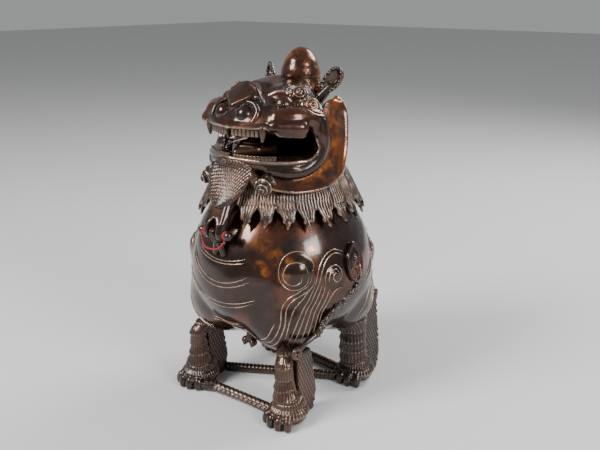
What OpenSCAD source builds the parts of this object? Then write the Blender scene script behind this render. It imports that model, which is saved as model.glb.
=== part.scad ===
// Incense burner in the shape of a single-horned lion-beast.
// The hollow head is a lid that tips forward on a pin at the top of the chest.
// Origin: centre of the footprint on the ground. +Z up, the animal faces -Y, its left side is +X.
// All sizes are in millimetres.

/* [Bowl] */
// Largest radius of the round belly
belly_r = 53.5; // [50:0.5:55]
// Height of the belly's widest ring above the ground
belly_z = 72; // [70:1:74]
// Depth of the belly below its widest ring
belly_drop = 40; // [37:1:41]
// Height of the shoulder curve above the widest ring, if it closed to a point
shoulder_rise = 60; // [58:1:62]
// Thickness of the cast wall
wall = 3; // [2:0.5:4]

/* [Neck] */
// Height of the ledge that the head rests on
ledge_z = 116; // [115:0.5:117]
// Height of the lip that stands above the ledge
lip_h = 2.5; // [1.5:0.5:3]
// Outer radius of the lip
lip_r = 31.5; // [30:0.5:32]
// Gap between the head and the bowl when the head is down
seat_gap = 0.3; // [0.3:0.1:0.6]

/* [Hinge] */
// Distance of the hinge pin in front of the bowl's axis
pin_y = 53.5; // [53:0.5:54]
// Height of the hinge pin
pin_z = 105; // [104.5:0.5:105.5]
// Radius of the hinge pin
pin_r = 1.6; // [1.4:0.1:1.8]
// Length of the hinge pin between its two beads
pin_len = 15; // [14.5:0.5:16]
// Width of the knuckle that stands on the chest
knuckle_w = 5; // [4:0.5:6]
// Radial clearance of the pin in the strap
pin_play = 0.05; // [0.02:0.01:0.1]

/* [Head] */
// Radius of the horn at its widest
horn_r = 11.3; // [10:0.1:12]
// Height of the horn's tip above the ground
horn_top = 198.5; // [196:0.5:200]
// Radius of each eyeball
eye_r = 6; // [5:0.5:7]
// Number of small teeth along one side of the upper jaw
upper_teeth_count = 8; // [5:1:9]
// Number of small teeth along one side of the lower jaw
lower_teeth_count = 7; // [5:1:8]

/* [Mane] */
// Number of pointed locks round the full circle
lock_count = 24; // [20:1:26]
// Radius of the mane at the tips of the locks
mane_r = 47.5; // [47:0.5:49]
// Height of the lock tips above the ground
mane_z = 107; // [106:1:108]

/* [Legs] */
// Radius of a leg where it meets the paw
leg_r = 8; // [7:0.5:9]
// Half width of a paw
paw_r = 12; // [11:0.5:13]
// Number of claws on each paw
claw_count = 4; // [3:1:5]

/* [Hidden] */

ROUND = 96;
SOFT = 20;
SMALL = 14;
SKULL = 24;
LEFT = 1;
RIGHT = -1;
BRONZE = "saddlebrown";
DARK = "#3a2a20";
GOLD = "peru";

// Places of the paws: across, along, in the order front left, front right, rear left, rear right
front_left_at = [38, -38];
front_right_at = [-33, -38];
rear_left_at = [37, 26];
rear_right_at = [-27, 31];
thread_r = 0.5;
// The tail reaches as far back as the thread reaches forward
front_reach = pin_y + 4.6 + thread_r * cos(180 / 8);
tail_r = 5;
tail_y = front_reach - tail_r * cos(90 / 12);
strap_w = pin_len - 1;
snake_r = 3.2;

// Radius of the outside of the bowl at height z
function bowl_r(z) = z < belly_z
    ? belly_r * sqrt(max(0, 1 - pow((belly_z - z) / belly_drop, 2)))
    : belly_r * sqrt(max(0, 1 - pow((z - belly_z) / shoulder_rise, 2)));

// Points of the bowl's outline from its bottom to height top, moved in by inset
function bowl_points(top, inset, steps) = [for (i = [0:steps])
    let (low = belly_z - belly_drop + inset, z = low + (top - low) * (1 - cos(90 * i / steps)))
    let (drop = belly_drop - inset, rise = shoulder_rise - inset, r = belly_r - inset)
    [r * sqrt(max(0, 1 - pow((z < belly_z ? (belly_z - z) / drop : (z - belly_z) / rise), 2))), z]];

function reverse(list) = [for (i = [len(list) - 1:-1:0]) list[i]];

// Everything inside the middle of the bowl's wall, taken away from pieces that are set into it
module bowl_inside() {
    rotate_extrude($fn = ROUND)
        polygon(concat([[0, ledge_z]], bowl_points(ledge_z, wall / 2, 22)));
}

// ---------------------------------------------------------------- bowl
module vessel_bowl() {
    outer = bowl_points(ledge_z, 0, 22);
    inner = bowl_points(ledge_z, wall, 22);
    color(DARK)
        rotate_extrude($fn = ROUND)
            polygon(concat(outer, reverse(inner)));
}

module neck_ring() {
    throat_r = lip_r - wall;
    color(DARK)
        rotate_extrude($fn = ROUND)
            polygon([
                [throat_r, ledge_z - wall],
                [bowl_r(ledge_z) - wall - 0.4, ledge_z - wall],
                [bowl_r(ledge_z) - wall - 0.4, ledge_z],
                [lip_r, ledge_z],
                [lip_r, ledge_z + lip_h],
                [throat_r, ledge_z + lip_h]]);
}

module belly_bead_knob() {
    knob_at = [0, -28, 35.5];
    color(BRONZE)
        hull() {
            translate(knob_at) sphere(r = 3.5, $fn = SOFT);
            for (side = [LEFT, RIGHT])
                translate(knob_at + [side * 3, -1.5, -2.5]) sphere(r = 2.8, $fn = SOFT);
        }
}

// ---------------------------------------------------------------- hinge
module along_x(length) {
    translate([-length / 2, 0, 0]) rotate([0, 90, 0]) linear_extrude(length) children();
}

module hinge_knuckle() {
    boss_r = 4;
    color(BRONZE)
        difference() {
            union() {
                translate([0, -pin_y, pin_z]) along_x(knuckle_w) circle(r = boss_r, $fn = 64);
                translate([-knuckle_w / 2, -pin_y - 1.5, pin_z - 13]) cube([knuckle_w, 11, 12]);
            }
            translate([0, -pin_y, pin_z]) along_x(knuckle_w + 2) circle(r = pin_r, $fn = 64);
            bowl_inside();
        }
}

module hinge_pin() {
    bead_r = 2.6;
    color(GOLD)
        union() {
            translate([0, -pin_y, pin_z]) along_x(pin_len) circle(r = pin_r, $fn = 64);
            for (side = [LEFT, RIGHT])
                translate([side * (pin_len / 2 + bead_r * 0.8), -pin_y, pin_z]) sphere(r = bead_r, $fn = 48);
        }
}

// The fork of the strap straddles the knuckle and turns on the pin
module hinge_strap() {
    root_y = 46;
    root_z = pin_z + 21;
    boss_r = 3.6;
    slot_w = knuckle_w + 0.8;
    color(BRONZE)
        difference() {
            rotate([90, 0, 90]) translate([0, 0, -strap_w / 2]) linear_extrude(strap_w)
                union() {
                    translate([-pin_y, pin_z]) circle(r = boss_r, $fn = 64);
                    polygon([
                        [-pin_y - 3.5, pin_z],
                        [-pin_y - 2.5, pin_z + 9],
                        [-root_y - 4, root_z],
                        [-root_y + 11.5, root_z],
                        [-root_y + 11.5, root_z - 4],
                        [-root_y + 1, pin_z + 10],
                        [-pin_y + 3, pin_z + 1]]);
                }
            translate([0, -pin_y, pin_z]) along_x(strap_w + 2) circle(r = pin_r + pin_play, $fn = 64);
            translate([-slot_w / 2, -pin_y - 6, pin_z - 6]) cube([slot_w, 14, 13]);
        }
}

// Thread tied from one end of the pin to the other, hanging in front of the knuckle
module red_thread() {
    half = pin_len / 2 + 1.5;
    sag = 6.5;
    steps = 14;
    color("crimson")
        for (i = [0:steps - 1]) {
            a = thread_point(i / steps, half, sag);
            b = thread_point((i + 1) / steps, half, sag);
            hull() {
                translate(a) sphere(r = thread_r, $fn = 8);
                translate(b) sphere(r = thread_r, $fn = 8);
            }
        }
}

// A point on the hanging thread, t from 0 at one pin end to 1 at the other
function thread_point(t, half, sag) = let (u = 2 * t - 1)
    [half * u, -pin_y - 1.8 - 2.8 * (1 - u * u), pin_z - 1 - sag * (1 - pow(u, 4))];

// ---------------------------------------------------------------- legs
module leg(at, lean) {
    hip = [at[0] * 0.92, at[1] + lean, 50];
    difference() {
        hull() {
            translate(hip) sphere(r = leg_r + 2.5, $fn = SOFT);
            translate([at[0], at[1] + 1, 22]) sphere(r = leg_r, $fn = SOFT);
        }
        bowl_inside();
    }
    hull() {
        translate([at[0], at[1] + 1, 22]) sphere(r = leg_r - 0.5, $fn = SOFT);
        translate([at[0], at[1], 6]) cylinder(r1 = paw_r - 0.5, r2 = leg_r, h = 12, $fn = 32);
        translate([at[0], at[1] + 1, 0]) cylinder(r = paw_r - 2.5, h = 6, $fn = 32);
    }
}

module front_left_leg() { color(DARK) leg(front_left_at, 2); }
module front_right_leg() { color(DARK) leg(front_right_at, 2); }
module rear_left_leg() { color(DARK) leg(rear_left_at, -2); }
module rear_right_leg() { color(DARK) leg(rear_right_at, -4); }

module claws(at) {
    spread = 100;
    for (i = [0:claw_count - 1]) {
        turn = -90 + spread * ((i + 0.5) / claw_count - 0.5);
        translate([at[0], at[1], 0]) rotate([0, 0, turn])
            hull() {
                translate([paw_r - 2.2, 0, 4]) sphere(r = 3.2, $fn = SMALL);
                translate([paw_r + 1.6, 0, 2.4]) sphere(r = 2.4, $fn = SMALL);
            }
    }
}

module front_left_claws() { color(GOLD) claws(front_left_at); }
module front_right_claws() { color(GOLD) claws(front_right_at); }
module rear_left_claws() { color(GOLD) claws(rear_left_at); }
module rear_right_claws() { color(GOLD) claws(rear_right_at); }

// Flat wedge of hair behind a leg, from the paw up to the belly
module tuft(at, top) {
    depth = 20;
    thick = 7;
    difference() {
        translate([at[0] - thick / 2, at[1], 0]) rotate([90, 0, 90]) linear_extrude(thick)
            polygon([
                [leg_r - 3, 0.5],
                [depth - 3, 0.5],
                [depth, 12],
                [depth - 3, 24],
                [depth - 5, top],
                [leg_r - 5, top]]);
        bowl_inside();
    }
}

module front_left_tuft() { color(DARK) tuft(front_left_at, 40); }
module front_right_tuft() { color(DARK) tuft(front_right_at, 40); }
module rear_left_tuft() { color(DARK) tuft(rear_left_at, 52); }
module rear_right_tuft() { color(DARK) tuft(rear_right_at, 50); }

// ---------------------------------------------------------------- flank ornaments
module flame_wing(side) {
    turn = side * 4;
    thick = 6;
    difference() {
        rotate([0, 0, turn]) translate([side * (belly_r - 4), 0, 62]) rotate([90, 0, 90])
            translate([0, 0, side > 0 ? 0 : -thick]) linear_extrude(thick)
                polygon([[-8, 26], [-3, 34], [4, 30], [9, 18], [6, 6], [0, 0], [-5, 8]]);
        bowl_inside();
    }
}

module left_flame_wing() { color(DARK) flame_wing(LEFT); }
module right_flame_wing() { color(DARK) flame_wing(RIGHT); }

// Raised ridge that runs from the wing's foot down to the elbow
module flank_ridge(side) {
    top = [side * 52, 2, 70];
    mid = [side * 46.5, -18, 56];
    foot = [side * 43, -36, 43];
    difference() {
        union() {
            hull() {
                translate(top) sphere(r = 3.5, $fn = SOFT);
                translate(mid) sphere(r = 4, $fn = SOFT);
            }
            hull() {
                translate(mid) sphere(r = 4, $fn = SOFT);
                translate(foot) sphere(r = 4.5, $fn = SOFT);
            }
        }
        bowl_inside();
    }
}

module left_flank_ridge() { color(GOLD) flank_ridge(LEFT); }
module right_flank_ridge() { color(GOLD) flank_ridge(RIGHT); }

// Tail laid up the back of the bowl
module tail() {
    color(DARK)
        difference() {
            union() {
                hull() {
                    translate([0, tail_y - 5, 54]) sphere(r = 6, $fn = SOFT);
                    translate([0, tail_y, 74]) sphere(r = tail_r, $fn = SOFT);
                }
                hull() {
                    translate([0, tail_y, 74]) sphere(r = tail_r, $fn = SOFT);
                    translate([0, tail_y - 5, 92]) sphere(r = 4, $fn = SOFT);
                }
            }
            bowl_inside();
        }
}

// ---------------------------------------------------------------- snake under the paws
module bar(a, b) {
    hull() {
        translate([a[0], a[1], snake_r]) sphere(r = snake_r, $fn = SOFT);
        translate([b[0], b[1], snake_r]) sphere(r = snake_r, $fn = SOFT);
    }
}

module snake_front_bar() { color(BRONZE) bar([-20, -42], [27, -40]); }
module snake_cross_bar() { color(BRONZE) bar([-29, -19], [28, 14]); }
module snake_rear_bar() { color(BRONZE) bar([-16, 27], [27, 24]); }

module snake_head() {
    color(BRONZE)
        hull() {
            translate([-18, -42.5, 4]) sphere(r = 4, $fn = SOFT);
            translate([-24, -46, 3.2]) sphere(r = 3, $fn = SOFT);
        }
}

// ---------------------------------------------------------------- head
// The head is round seen from above: its features stand on circles about this centre line
head_y = -4;

function round_head(r, angle, z) = [r * sin(angle), head_y - r * cos(angle), z];

module ball(at, r, fn = SOFT) { translate(at) sphere(r = r, $fn = fn); }

// One round knob on its own
module bead(at, r) {
    hull() ball(at, r);
}

module pair(at, r, fn = SOFT) {
    for (side = [LEFT, RIGHT]) ball([side * at[0], at[1], at[2]], r, fn);
}

// Brow, muzzle and cheeks, shrunk all round by inset
module upper_mass(inset) {
    lip_ball = 8;
    hull() {
        for (angle = [-60, -30, 0, 30, 60])
            ball(round_head(30, angle, 167), lip_ball - inset, SKULL);
        pair([14, -18, 173], 8.5 - inset, SKULL);
        pair([24, -2, 160], 13 - inset, SKULL);
        ball([0, 12, 165], 17 - inset, SKULL);
    }
}

module lower_mass(inset) {
    hull() {
        for (angle = [-75, -40, 0, 40, 75])
            ball(round_head(28.5, angle, 144), 7 - inset, SKULL);
        ball([0, 6, 140], 26 - inset, SKULL);
    }
}

module back_mass(inset) {
    hull() {
        pair([10, 8, 156], 24 - inset, SKULL);
        translate([0, 0, 128]) cylinder(r = 34.5 - inset, h = 8, $fn = 48);
    }
}

// Space between the open jaws, right through from cheek to cheek
module mouth_gap() {
    reach = 90;
    hull() {
        translate([-reach / 2, -46, 151]) cube([reach, 2, 9.5]);
        translate([0, -21, 148.5]) along_x(reach) circle(r = 6.3, $fn = 32);
        translate([0, -14, 148]) along_x(reach) circle(r = 5.5, $fn = 32);
    }
}

module head_shell() {
    color(DARK)
        difference() {
            union() {
                upper_mass(0);
                lower_mass(0);
                back_mass(0);
            }
            union() {
                upper_mass(wall);
                lower_mass(wall);
                back_mass(wall);
            }
            mouth_gap();
            translate([0, 0, 100]) cylinder(r = 60, h = 28.5, $fn = 48);
        }
}

// Ring at the base of the head that sits on the neck ledge
module seat_ring() {
    ring_r = 35.5;
    color(DARK)
        rotate_extrude($fn = ROUND)
            polygon([
                [lip_r + 1.2, ledge_z + seat_gap],
                [ring_r, ledge_z + seat_gap],
                [ring_r, 129],
                [lip_r, 129],
                [lip_r, ledge_z + 8]]);
}

module mane_collar() {
    thick = 2.4;
    top_r = 35.2;
    top_z = 134;
    notch_h = 15;
    notch_w = 2 * PI * mane_r / lock_count * 0.8;
    step = 360 / lock_count;
    color(BRONZE)
        difference() {
            rotate_extrude($fn = ROUND)
                polygon([
                    [mane_r - thick, mane_z],
                    [mane_r, mane_z],
                    [mane_r - 3, mane_z + 10],
                    [top_r + 3, top_z],
                    [top_r, top_z],
                    [top_r, 126]]);
            for (i = [0:lock_count - 1])
                rotate([0, 0, -90 + step * (i + 0.5)])
                    translate([mane_r - 14, 0, mane_z - 1]) rotate([90, 0, 90]) linear_extrude(30)
                        polygon([[-notch_w / 2, 0], [notch_w / 2, 0], [0, notch_h]]);
            translate([-strap_w / 2 - 0.5, -70, 100]) cube([strap_w + 1, 40, 27.5]);
        }
}

// Crescent plate behind and below the mouth corner, bent round the cheek
module cheek_flange(side) {
    inner_r = 34;
    outer_r = 40.5;
    color(GOLD)
        intersection() {
            translate([0, -2, 120]) rotate_extrude($fn = ROUND)
                polygon([[inner_r - 2, 0], [outer_r, 0], [outer_r, 60], [inner_r - 2, 60]]);
            rotate([90, 0, 90]) translate([0, 0, side > 0 ? 18 : -48]) linear_extrude(30)
                difference() {
                    translate([-10, 159]) circle(r = 32, $fn = ROUND);
                    translate([-14, 161]) circle(r = 27, $fn = ROUND);
                    translate([-45, 148]) square([40, 60]);
                }
        }
}

module left_cheek_flange() { cheek_flange(LEFT); }
module right_cheek_flange() { cheek_flange(RIGHT); }

module horn() {
    color(GOLD)
        hull() {
            translate([0, 17, 182]) sphere(r = horn_r, $fn = SOFT);
            translate([0, 17, horn_top - 8]) sphere(r = 8, $fn = SOFT);
        }
}

module ear(side) {
    hull() {
        ball([side * 21, 11, 175], 3);
        ball([side * 30, 10, 187], 2.2);
        ball([side * 26, 17, 182], 2.2);
    }
}

module left_ear() { color(BRONZE) ear(LEFT); }
module right_ear() { color(BRONZE) ear(RIGHT); }

module eye(side) { bead([side * 19.5, -18, 172], eye_r); }
module left_eye() { color(DARK) eye(LEFT); }
module right_eye() { color(DARK) eye(RIGHT); }

// Two spiral curls over the eye, one behind the other
module brow_curls(side) {
    for (at = [[20, -8, 175, 6.5], [27.5, -4, 168, 6]])
        bead([side * at[0], at[1], at[2]], at[3]);
}

module left_brow_curls() { color(GOLD) brow_curls(LEFT); }
module right_brow_curls() { color(GOLD) brow_curls(RIGHT); }

module nostril(side) { bead([side * 8, -35.5, 169.5], 6); }
module left_nostril() { color(DARK) nostril(LEFT); }
module right_nostril() { color(DARK) nostril(RIGHT); }

module nose_ridge() {
    color(BRONZE)
        hull() {
            ball([0, -37, 173.5], 2);
            pair([6, -26, 180], 2.2);
            ball([0, -20, 179], 2);
        }
}

// Small teeth on a circle round the front of a jaw, clear of the middle by first degrees
module teeth_row(count, r, z, height) {
    first = 6;
    last = 46;
    for (side = [LEFT, RIGHT])
        for (i = [0:count - 1])
            translate(round_head(r, side * (first + (last - first) * i / (count - 1)), z))
                cylinder(r = 1.2, h = height, $fn = 16);
}

module upper_teeth() { color("wheat") teeth_row(upper_teeth_count, 36.2, 157, 6); }
module lower_teeth() { color("wheat") teeth_row(lower_teeth_count, 33.6, 146, 5.8); }

module canine_teeth() {
    color("wheat")
        for (side = [LEFT, RIGHT])
            translate(round_head(35, side * 54, 151)) cylinder(r1 = 0.6, r2 = 2.1, h = 9, $fn = 32);
}

module tongue() {
    color(BRONZE)
        hull() {
            ball([0, -31, 144.5], 5.5);
            pair([7, -23, 146], 3.5);
            ball([0, -8, 143], 4);
        }
}

// Goatee under the chin, leaning out over the hinge strap
module beard() {
    color(BRONZE)
        hull() {
            pair([10, -36, 139], 3);
            pair([8, -41, 129], 2.5);
            ball([0, -45, 124.5], 2.5);
        }
}

module beard_curl(side) { bead([side * 20, -36.5, 131], 5.5); }
module left_beard_curl() { color(GOLD) beard_curl(LEFT); }
module right_beard_curl() { color(GOLD) beard_curl(RIGHT); }

vessel_bowl();
neck_ring();
hinge_knuckle();
hinge_pin();
red_thread();
belly_bead_knob();
front_left_leg();
front_right_leg();
rear_left_leg();
rear_right_leg();
front_left_claws();
front_right_claws();
rear_left_claws();
rear_right_claws();
front_left_tuft();
front_right_tuft();
rear_left_tuft();
rear_right_tuft();
left_flame_wing();
right_flame_wing();
left_flank_ridge();
right_flank_ridge();
tail();
snake_front_bar();
snake_cross_bar();
snake_rear_bar();
snake_head();
head_shell();
seat_ring();
hinge_strap();
mane_collar();
left_cheek_flange();
right_cheek_flange();
horn();
left_ear();
right_ear();
left_eye();
right_eye();
left_brow_curls();
right_brow_curls();
left_nostril();
right_nostril();
nose_ridge();
upper_teeth();
lower_teeth();
canine_teeth();
tongue();
beard();
left_beard_curl();
right_beard_curl();
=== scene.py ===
import math

import bmesh
import bpy
import numpy as np
from mathutils import Matrix, Vector
from mathutils.bvhtree import BVHTree


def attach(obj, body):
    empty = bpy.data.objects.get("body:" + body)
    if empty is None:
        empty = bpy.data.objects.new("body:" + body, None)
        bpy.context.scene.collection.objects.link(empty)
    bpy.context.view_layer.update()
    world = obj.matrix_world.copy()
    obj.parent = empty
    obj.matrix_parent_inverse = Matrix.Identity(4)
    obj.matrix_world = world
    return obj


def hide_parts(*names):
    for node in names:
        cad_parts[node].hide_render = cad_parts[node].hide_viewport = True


bl_info = {
    "name": "Lion-beast Censer",
    "version": (1, 0, 0),
    "blender": (4, 5, 0),
    "location": "3D View > Sidebar > Censer",
    "description": "Cast bronze incense burner in the shape of a single-horned lion-beast",
    "category": "Add Mesh",
}

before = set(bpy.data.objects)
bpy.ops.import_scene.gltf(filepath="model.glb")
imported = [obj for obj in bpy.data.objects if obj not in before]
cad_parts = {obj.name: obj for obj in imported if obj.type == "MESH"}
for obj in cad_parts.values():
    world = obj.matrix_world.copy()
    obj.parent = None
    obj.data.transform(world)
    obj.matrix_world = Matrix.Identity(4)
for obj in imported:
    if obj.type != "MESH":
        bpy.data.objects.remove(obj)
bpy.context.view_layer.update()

# Every length below is in millimetres. The animal faces -Y, its left side is +X, and the ground is Z 0.
MM = 0.001
TURN = 2 * math.pi
LEFT, RIGHT = 1, -1
SIDES = (("left", LEFT), ("right", RIGHT))
BELLY_R, BELLY_Z, BELLY_DROP, SHOULDER_RISE = 53.5, 72.0, 40.0, 60.0
WALL, LEDGE_Z = 3.0, 116.0
TUFT_HALF = 2.0
FLANGE_THICKNESS, BEARD_THICKNESS = 2.2, 3.0
HEAD_Y = -4.0
PIN_Y, PIN_Z = -53.5, 105.0
# Middle of each paw, and the height of the hair wedge behind the leg
LEGS = {
    "front_left": (38.0, -38.0, 40.0),
    "front_right": (-33.0, -38.0, 40.0),
    "rear_left": (37.0, 26.0, 52.0),
    "rear_right": (-27.0, 31.0, 50.0),
}


# ------------------------------------------------------------------ lines
def smooth_line(points, spacing=0.5):
    """A smooth line through the points, with rows about spacing apart. Radii are smoothed too."""
    knots = np.array(points, float)
    if len(knots) == 1:
        return knots
    length = np.linalg.norm(np.diff(knots[:, :3], axis=0), axis=1).sum()
    count = max(2, int(length / spacing) + 1)
    padded = np.vstack([2 * knots[0] - knots[1], knots, 2 * knots[-1] - knots[-2]])
    t = np.linspace(0, len(knots) - 1, count)
    start = np.minimum(t.astype(int), len(knots) - 2)
    f = (t - start)[:, None]
    a, b, c, d = (padded[start + shift] for shift in range(4))
    return 0.5 * (2 * b + (c - a) * f + (2 * a - 5 * b + 4 * c - d) * f**2 + (3 * b - a - 3 * c + d) * f**3)


def sided(points, side):
    """The points of a left-hand line, mirrored for the right-hand side."""
    rows = np.array(points, float)
    rows[:, 0] *= side
    return rows


def both(*rows):
    """Left-hand rows with their mirror images."""
    return [(side * row[0], *row[1:]) for row in rows for side in (LEFT, RIGHT)]


def bowl_radius(z, inset=0.0):
    """Radius of the bowl's outside at height z, moved in by inset."""
    reach = np.where(np.asarray(z) < BELLY_Z, BELLY_DROP, SHOULDER_RISE) - inset
    return (BELLY_R - inset) * np.sqrt(np.maximum(0, 1 - ((np.asarray(z) - BELLY_Z) / reach) ** 2))


def on_bowl(marks, side=LEFT, out=0.0, spacing=0.5):
    """A line on the bowl through marks of (degrees round from the front, height)."""
    rows = smooth_line([(side * math.radians(turn) * BELLY_R, z, 0) for turn, z in marks], spacing)
    angle = rows[:, 0] / BELLY_R
    r = bowl_radius(rows[:, 1]) + out
    return np.stack([r * np.sin(angle), -r * np.cos(angle), rows[:, 1]], axis=1)


def round_head(r, degrees, z):
    angle = math.radians(degrees)
    return (r * math.sin(angle), HEAD_Y - r * math.cos(angle), z)


# ------------------------------------------------------------------ clay: masses that melt into one skin
def ball(bm, row):
    """One ball: centre and radius, or centre and three radii."""
    radii = row[3:] if len(row) == 6 else [row[3]] * 3
    size = max(radii)
    detail = 2 if size < 4 else 3 if size < 14 else 4
    place = Matrix.Translation(Vector(row[:3]) * MM) @ Matrix.Diagonal([*(r * MM for r in radii), 1])
    bmesh.ops.create_icosphere(bm, subdivisions=detail, radius=1, matrix=place)


def chain(bm, points):
    """A run of balls close enough to melt into one limb."""
    knots = np.array(points, float)
    for row in smooth_line(knots, 0.4 * knots[:, 3:].min()):
        ball(bm, list(row))


def hull(bm, rows):
    """The tight skin round some balls."""
    balls = bmesh.new()
    for row in rows:
        ball(balls, row)
    skin = bmesh.new()
    for vert in balls.verts:
        skin.verts.new(vert.co)
    result = bmesh.ops.convex_hull(skin, input=skin.verts)
    spare = [part for part in result["geom_interior"] if isinstance(part, bmesh.types.BMVert)]
    bmesh.ops.delete(skin, geom=spare, context="VERTS")
    bmesh.ops.recalc_face_normals(skin, faces=skin.faces)
    mesh = bpy.data.meshes.new("skin")
    skin.to_mesh(mesh)
    bm.from_mesh(mesh)
    bpy.data.meshes.remove(mesh)
    balls.free()
    skin.free()


def put_in_scene(name, data):
    obj = bpy.data.objects.new(name, data)
    bpy.context.scene.collection.objects.link(obj)
    return obj


def as_object(name, bm):
    mesh = bpy.data.meshes.new(name)
    bm.to_mesh(mesh)
    bm.free()
    return put_in_scene(name, mesh)


def baked(obj):
    """The object's mesh with its modifiers applied. The object itself goes."""
    bpy.context.view_layer.update()
    evaluated = obj.evaluated_get(bpy.context.evaluated_depsgraph_get())
    mesh = bpy.data.meshes.new_from_object(evaluated)
    bpy.data.objects.remove(obj)
    return mesh


def voxel_skin(obj, size):
    skin = obj.modifiers.new("skin", "REMESH")
    skin.mode = "VOXEL"
    skin.voxel_size = size * MM


def cast(bm, voxel, smooth=4, cutter=None):
    """Melts the masses into one closed skin, less what the cutter takes away."""
    obj = as_object("cast", bm)
    voxel_skin(obj, voxel)
    if cutter is not None:
        knife = as_object("knife", cutter)
        voxel_skin(knife, voxel * 1.2)
        cut = obj.modifiers.new("cut", "BOOLEAN")
        cut.operation = "DIFFERENCE"
        cut.solver = "MANIFOLD"
        cut.object = knife
        voxel_skin(obj, voxel)
    soften = obj.modifiers.new("soften", "SMOOTH")
    soften.factor = 0.5
    soften.iterations = smooth
    mesh = baked(obj)
    if cutter is not None:
        bpy.data.objects.remove(knife)
    return mesh


# ------------------------------------------------------------------ carving: lines raised and cut on a skin
class Carving:
    """Raises and cuts lines on a mesh along its own normals."""

    def __init__(self, mesh):
        self.mesh = mesh
        count = len(mesh.vertices)
        place = np.empty(count * 3, np.float32)
        normal = np.empty(count * 3, np.float32)
        mesh.vertices.foreach_get("co", place)
        mesh.vertices.foreach_get("normal", normal)
        self.place = place.reshape(-1, 3).astype(float) / MM
        self.normal = normal.reshape(-1, 3).astype(float)
        self.lift = np.zeros(count)
        self.swell = np.zeros(count)
        self.amber = np.zeros(count)
        self.tree = None

    def on_surface(self, line):
        """The line moved to the nearest places on the skin."""
        if self.tree is None:
            faces = [tuple(face.vertices) for face in self.mesh.polygons]
            self.tree = BVHTree.FromPolygons(self.place.tolist(), faces)
        return np.array([self.tree.find_nearest(Vector(row[:3]))[0] for row in line])

    def near(self, line, reach):
        """Vertices within reach of the line, how far each is, and where along the line, 0 to 1."""
        low, high = line.min(0) - reach, line.max(0) + reach
        index = np.nonzero(((self.place > low) & (self.place < high)).all(1))[0]
        away = np.empty(len(index))
        along = np.empty(len(index))
        block = 8000
        for first in range(0, len(index), block):
            rows = self.place[index[first:first + block]]
            gap = (rows**2).sum(1)[:, None] + (line**2).sum(1)[None] - 2 * rows @ line.T
            best = gap.argmin(1)
            away[first:first + block] = np.sqrt(np.maximum(0, gap[np.arange(len(rows)), best]))
            along[first:first + block] = best / max(1, len(line) - 1)
        close = away < reach
        return index[close], away[close], along[close]

    def ridge(self, points, height, width, taper=0.08, spacing=0.3, drape=True):
        """A soft raised line, or a cut one if height is negative."""
        line = smooth_line(points, spacing)[:, :3]
        if drape:
            line = self.on_surface(line)
        index, away, along = self.near(line, width * 2.6)
        ends = np.clip(np.minimum(along, 1 - along) / max(taper, 1e-6), 0, 1) if taper else 1
        self.lift[index] += height * np.exp(-((away / width) ** 2)) * ends

    def rings(self, points, inner, outer, pitch, height, only=None):
        """Lines side by side, all at an even distance from the points' line."""
        line = self.on_surface(smooth_line(points, 0.4)[:, :3])
        index, away, _ = self.near(line, outer)
        window = np.clip((away - inner) / pitch, 0, 1) * np.clip((outer - away) / pitch, 0, 1)
        if only is not None:
            window = window * only(self.place[index])
        self.lift[index] += height * np.cos(TURN * (away - inner) / pitch) * window

    def spiral(self, centre, axis, reach, pitch, height, hand=1, start=0.0):
        """A spiral groove and ridge round a centre, seen along its axis."""
        axis = np.array(axis, float) / np.linalg.norm(axis)
        across = np.cross(axis, (0, 0, 1.0))
        across /= np.linalg.norm(across)
        upward = np.cross(across, axis)
        away = self.place - np.array(centre, float)
        index = np.nonzero((np.abs(away) < reach * 1.5).all(1))[0]
        away = away[index]
        x, y = away @ across, away @ upward
        r = np.hypot(x, y)
        window = np.clip((reach - r) / pitch, 0, 1) * (away @ axis > -0.6 * reach)
        phase = r / pitch + hand * np.arctan2(y, x) / TURN + start
        self.lift[index] += height * np.cos(TURN * phase) * window

    def dome(self, centre, reach, height):
        """A smooth round swelling."""
        away = np.linalg.norm(self.place - np.array(centre, float), axis=1) / reach
        self.swell += height * np.clip(1 - away**2, 0, 1) ** 1.5

    def tint(self, points, reach):
        """Marks a soft amber patch along a line."""
        index, away, _ = self.near(smooth_line(points, 0.8)[:, :3], reach)
        self.amber[index] = np.maximum(self.amber[index], 1 - (away / reach) ** 2)

    def finish(self, strength=0.45):
        """Moves the skin and keeps how far it went, and where it is amber, as attributes."""
        moved = self.place + self.normal * (self.lift + self.swell)[:, None]
        self.mesh.vertices.foreach_set("co", (moved * MM).astype(np.float32).ravel())
        keep(self.mesh, "relief", np.clip(self.lift / strength, -1, 1))
        keep(self.mesh, "amber", self.amber)
        self.mesh.update()
        return self.mesh


def keep(mesh, name, values):
    """Stores one number for each vertex, for the finish to read."""
    layer = mesh.attributes.get(name) or mesh.attributes.new(name, "FLOAT", "POINT")
    layer.data.foreach_set("value", np.asarray(values, np.float32))


def reshaped(mesh, change):
    """Moves every vertex by a function of the whole array of places."""
    place = np.empty(len(mesh.vertices) * 3, np.float32)
    mesh.vertices.foreach_get("co", place)
    moved = change(place.reshape(-1, 3).astype(float) / MM)
    mesh.vertices.foreach_set("co", (moved * MM).astype(np.float32).ravel())
    mesh.update()
    return mesh


def out_of_bowl(place):
    """Presses what would stand inside the bowl into its wall, and stands feet on the ground."""
    drop = np.where(place[:, 2] < BELLY_Z, BELLY_DROP, SHOULDER_RISE) - WALL / 2
    middle = np.array([0, 0, BELLY_Z])
    away = place - middle
    r = np.hypot(away[:, 0], away[:, 1]) / (BELLY_R - WALL / 2)
    inside = np.sqrt(r**2 + (away[:, 2] / drop) ** 2)
    grow = np.where(inside < 1, 1 / np.maximum(inside, 0.3), 1)
    moved = middle + away * grow[:, None]
    moved[:, 2] = np.maximum(moved[:, 2], 0)
    return moved


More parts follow.
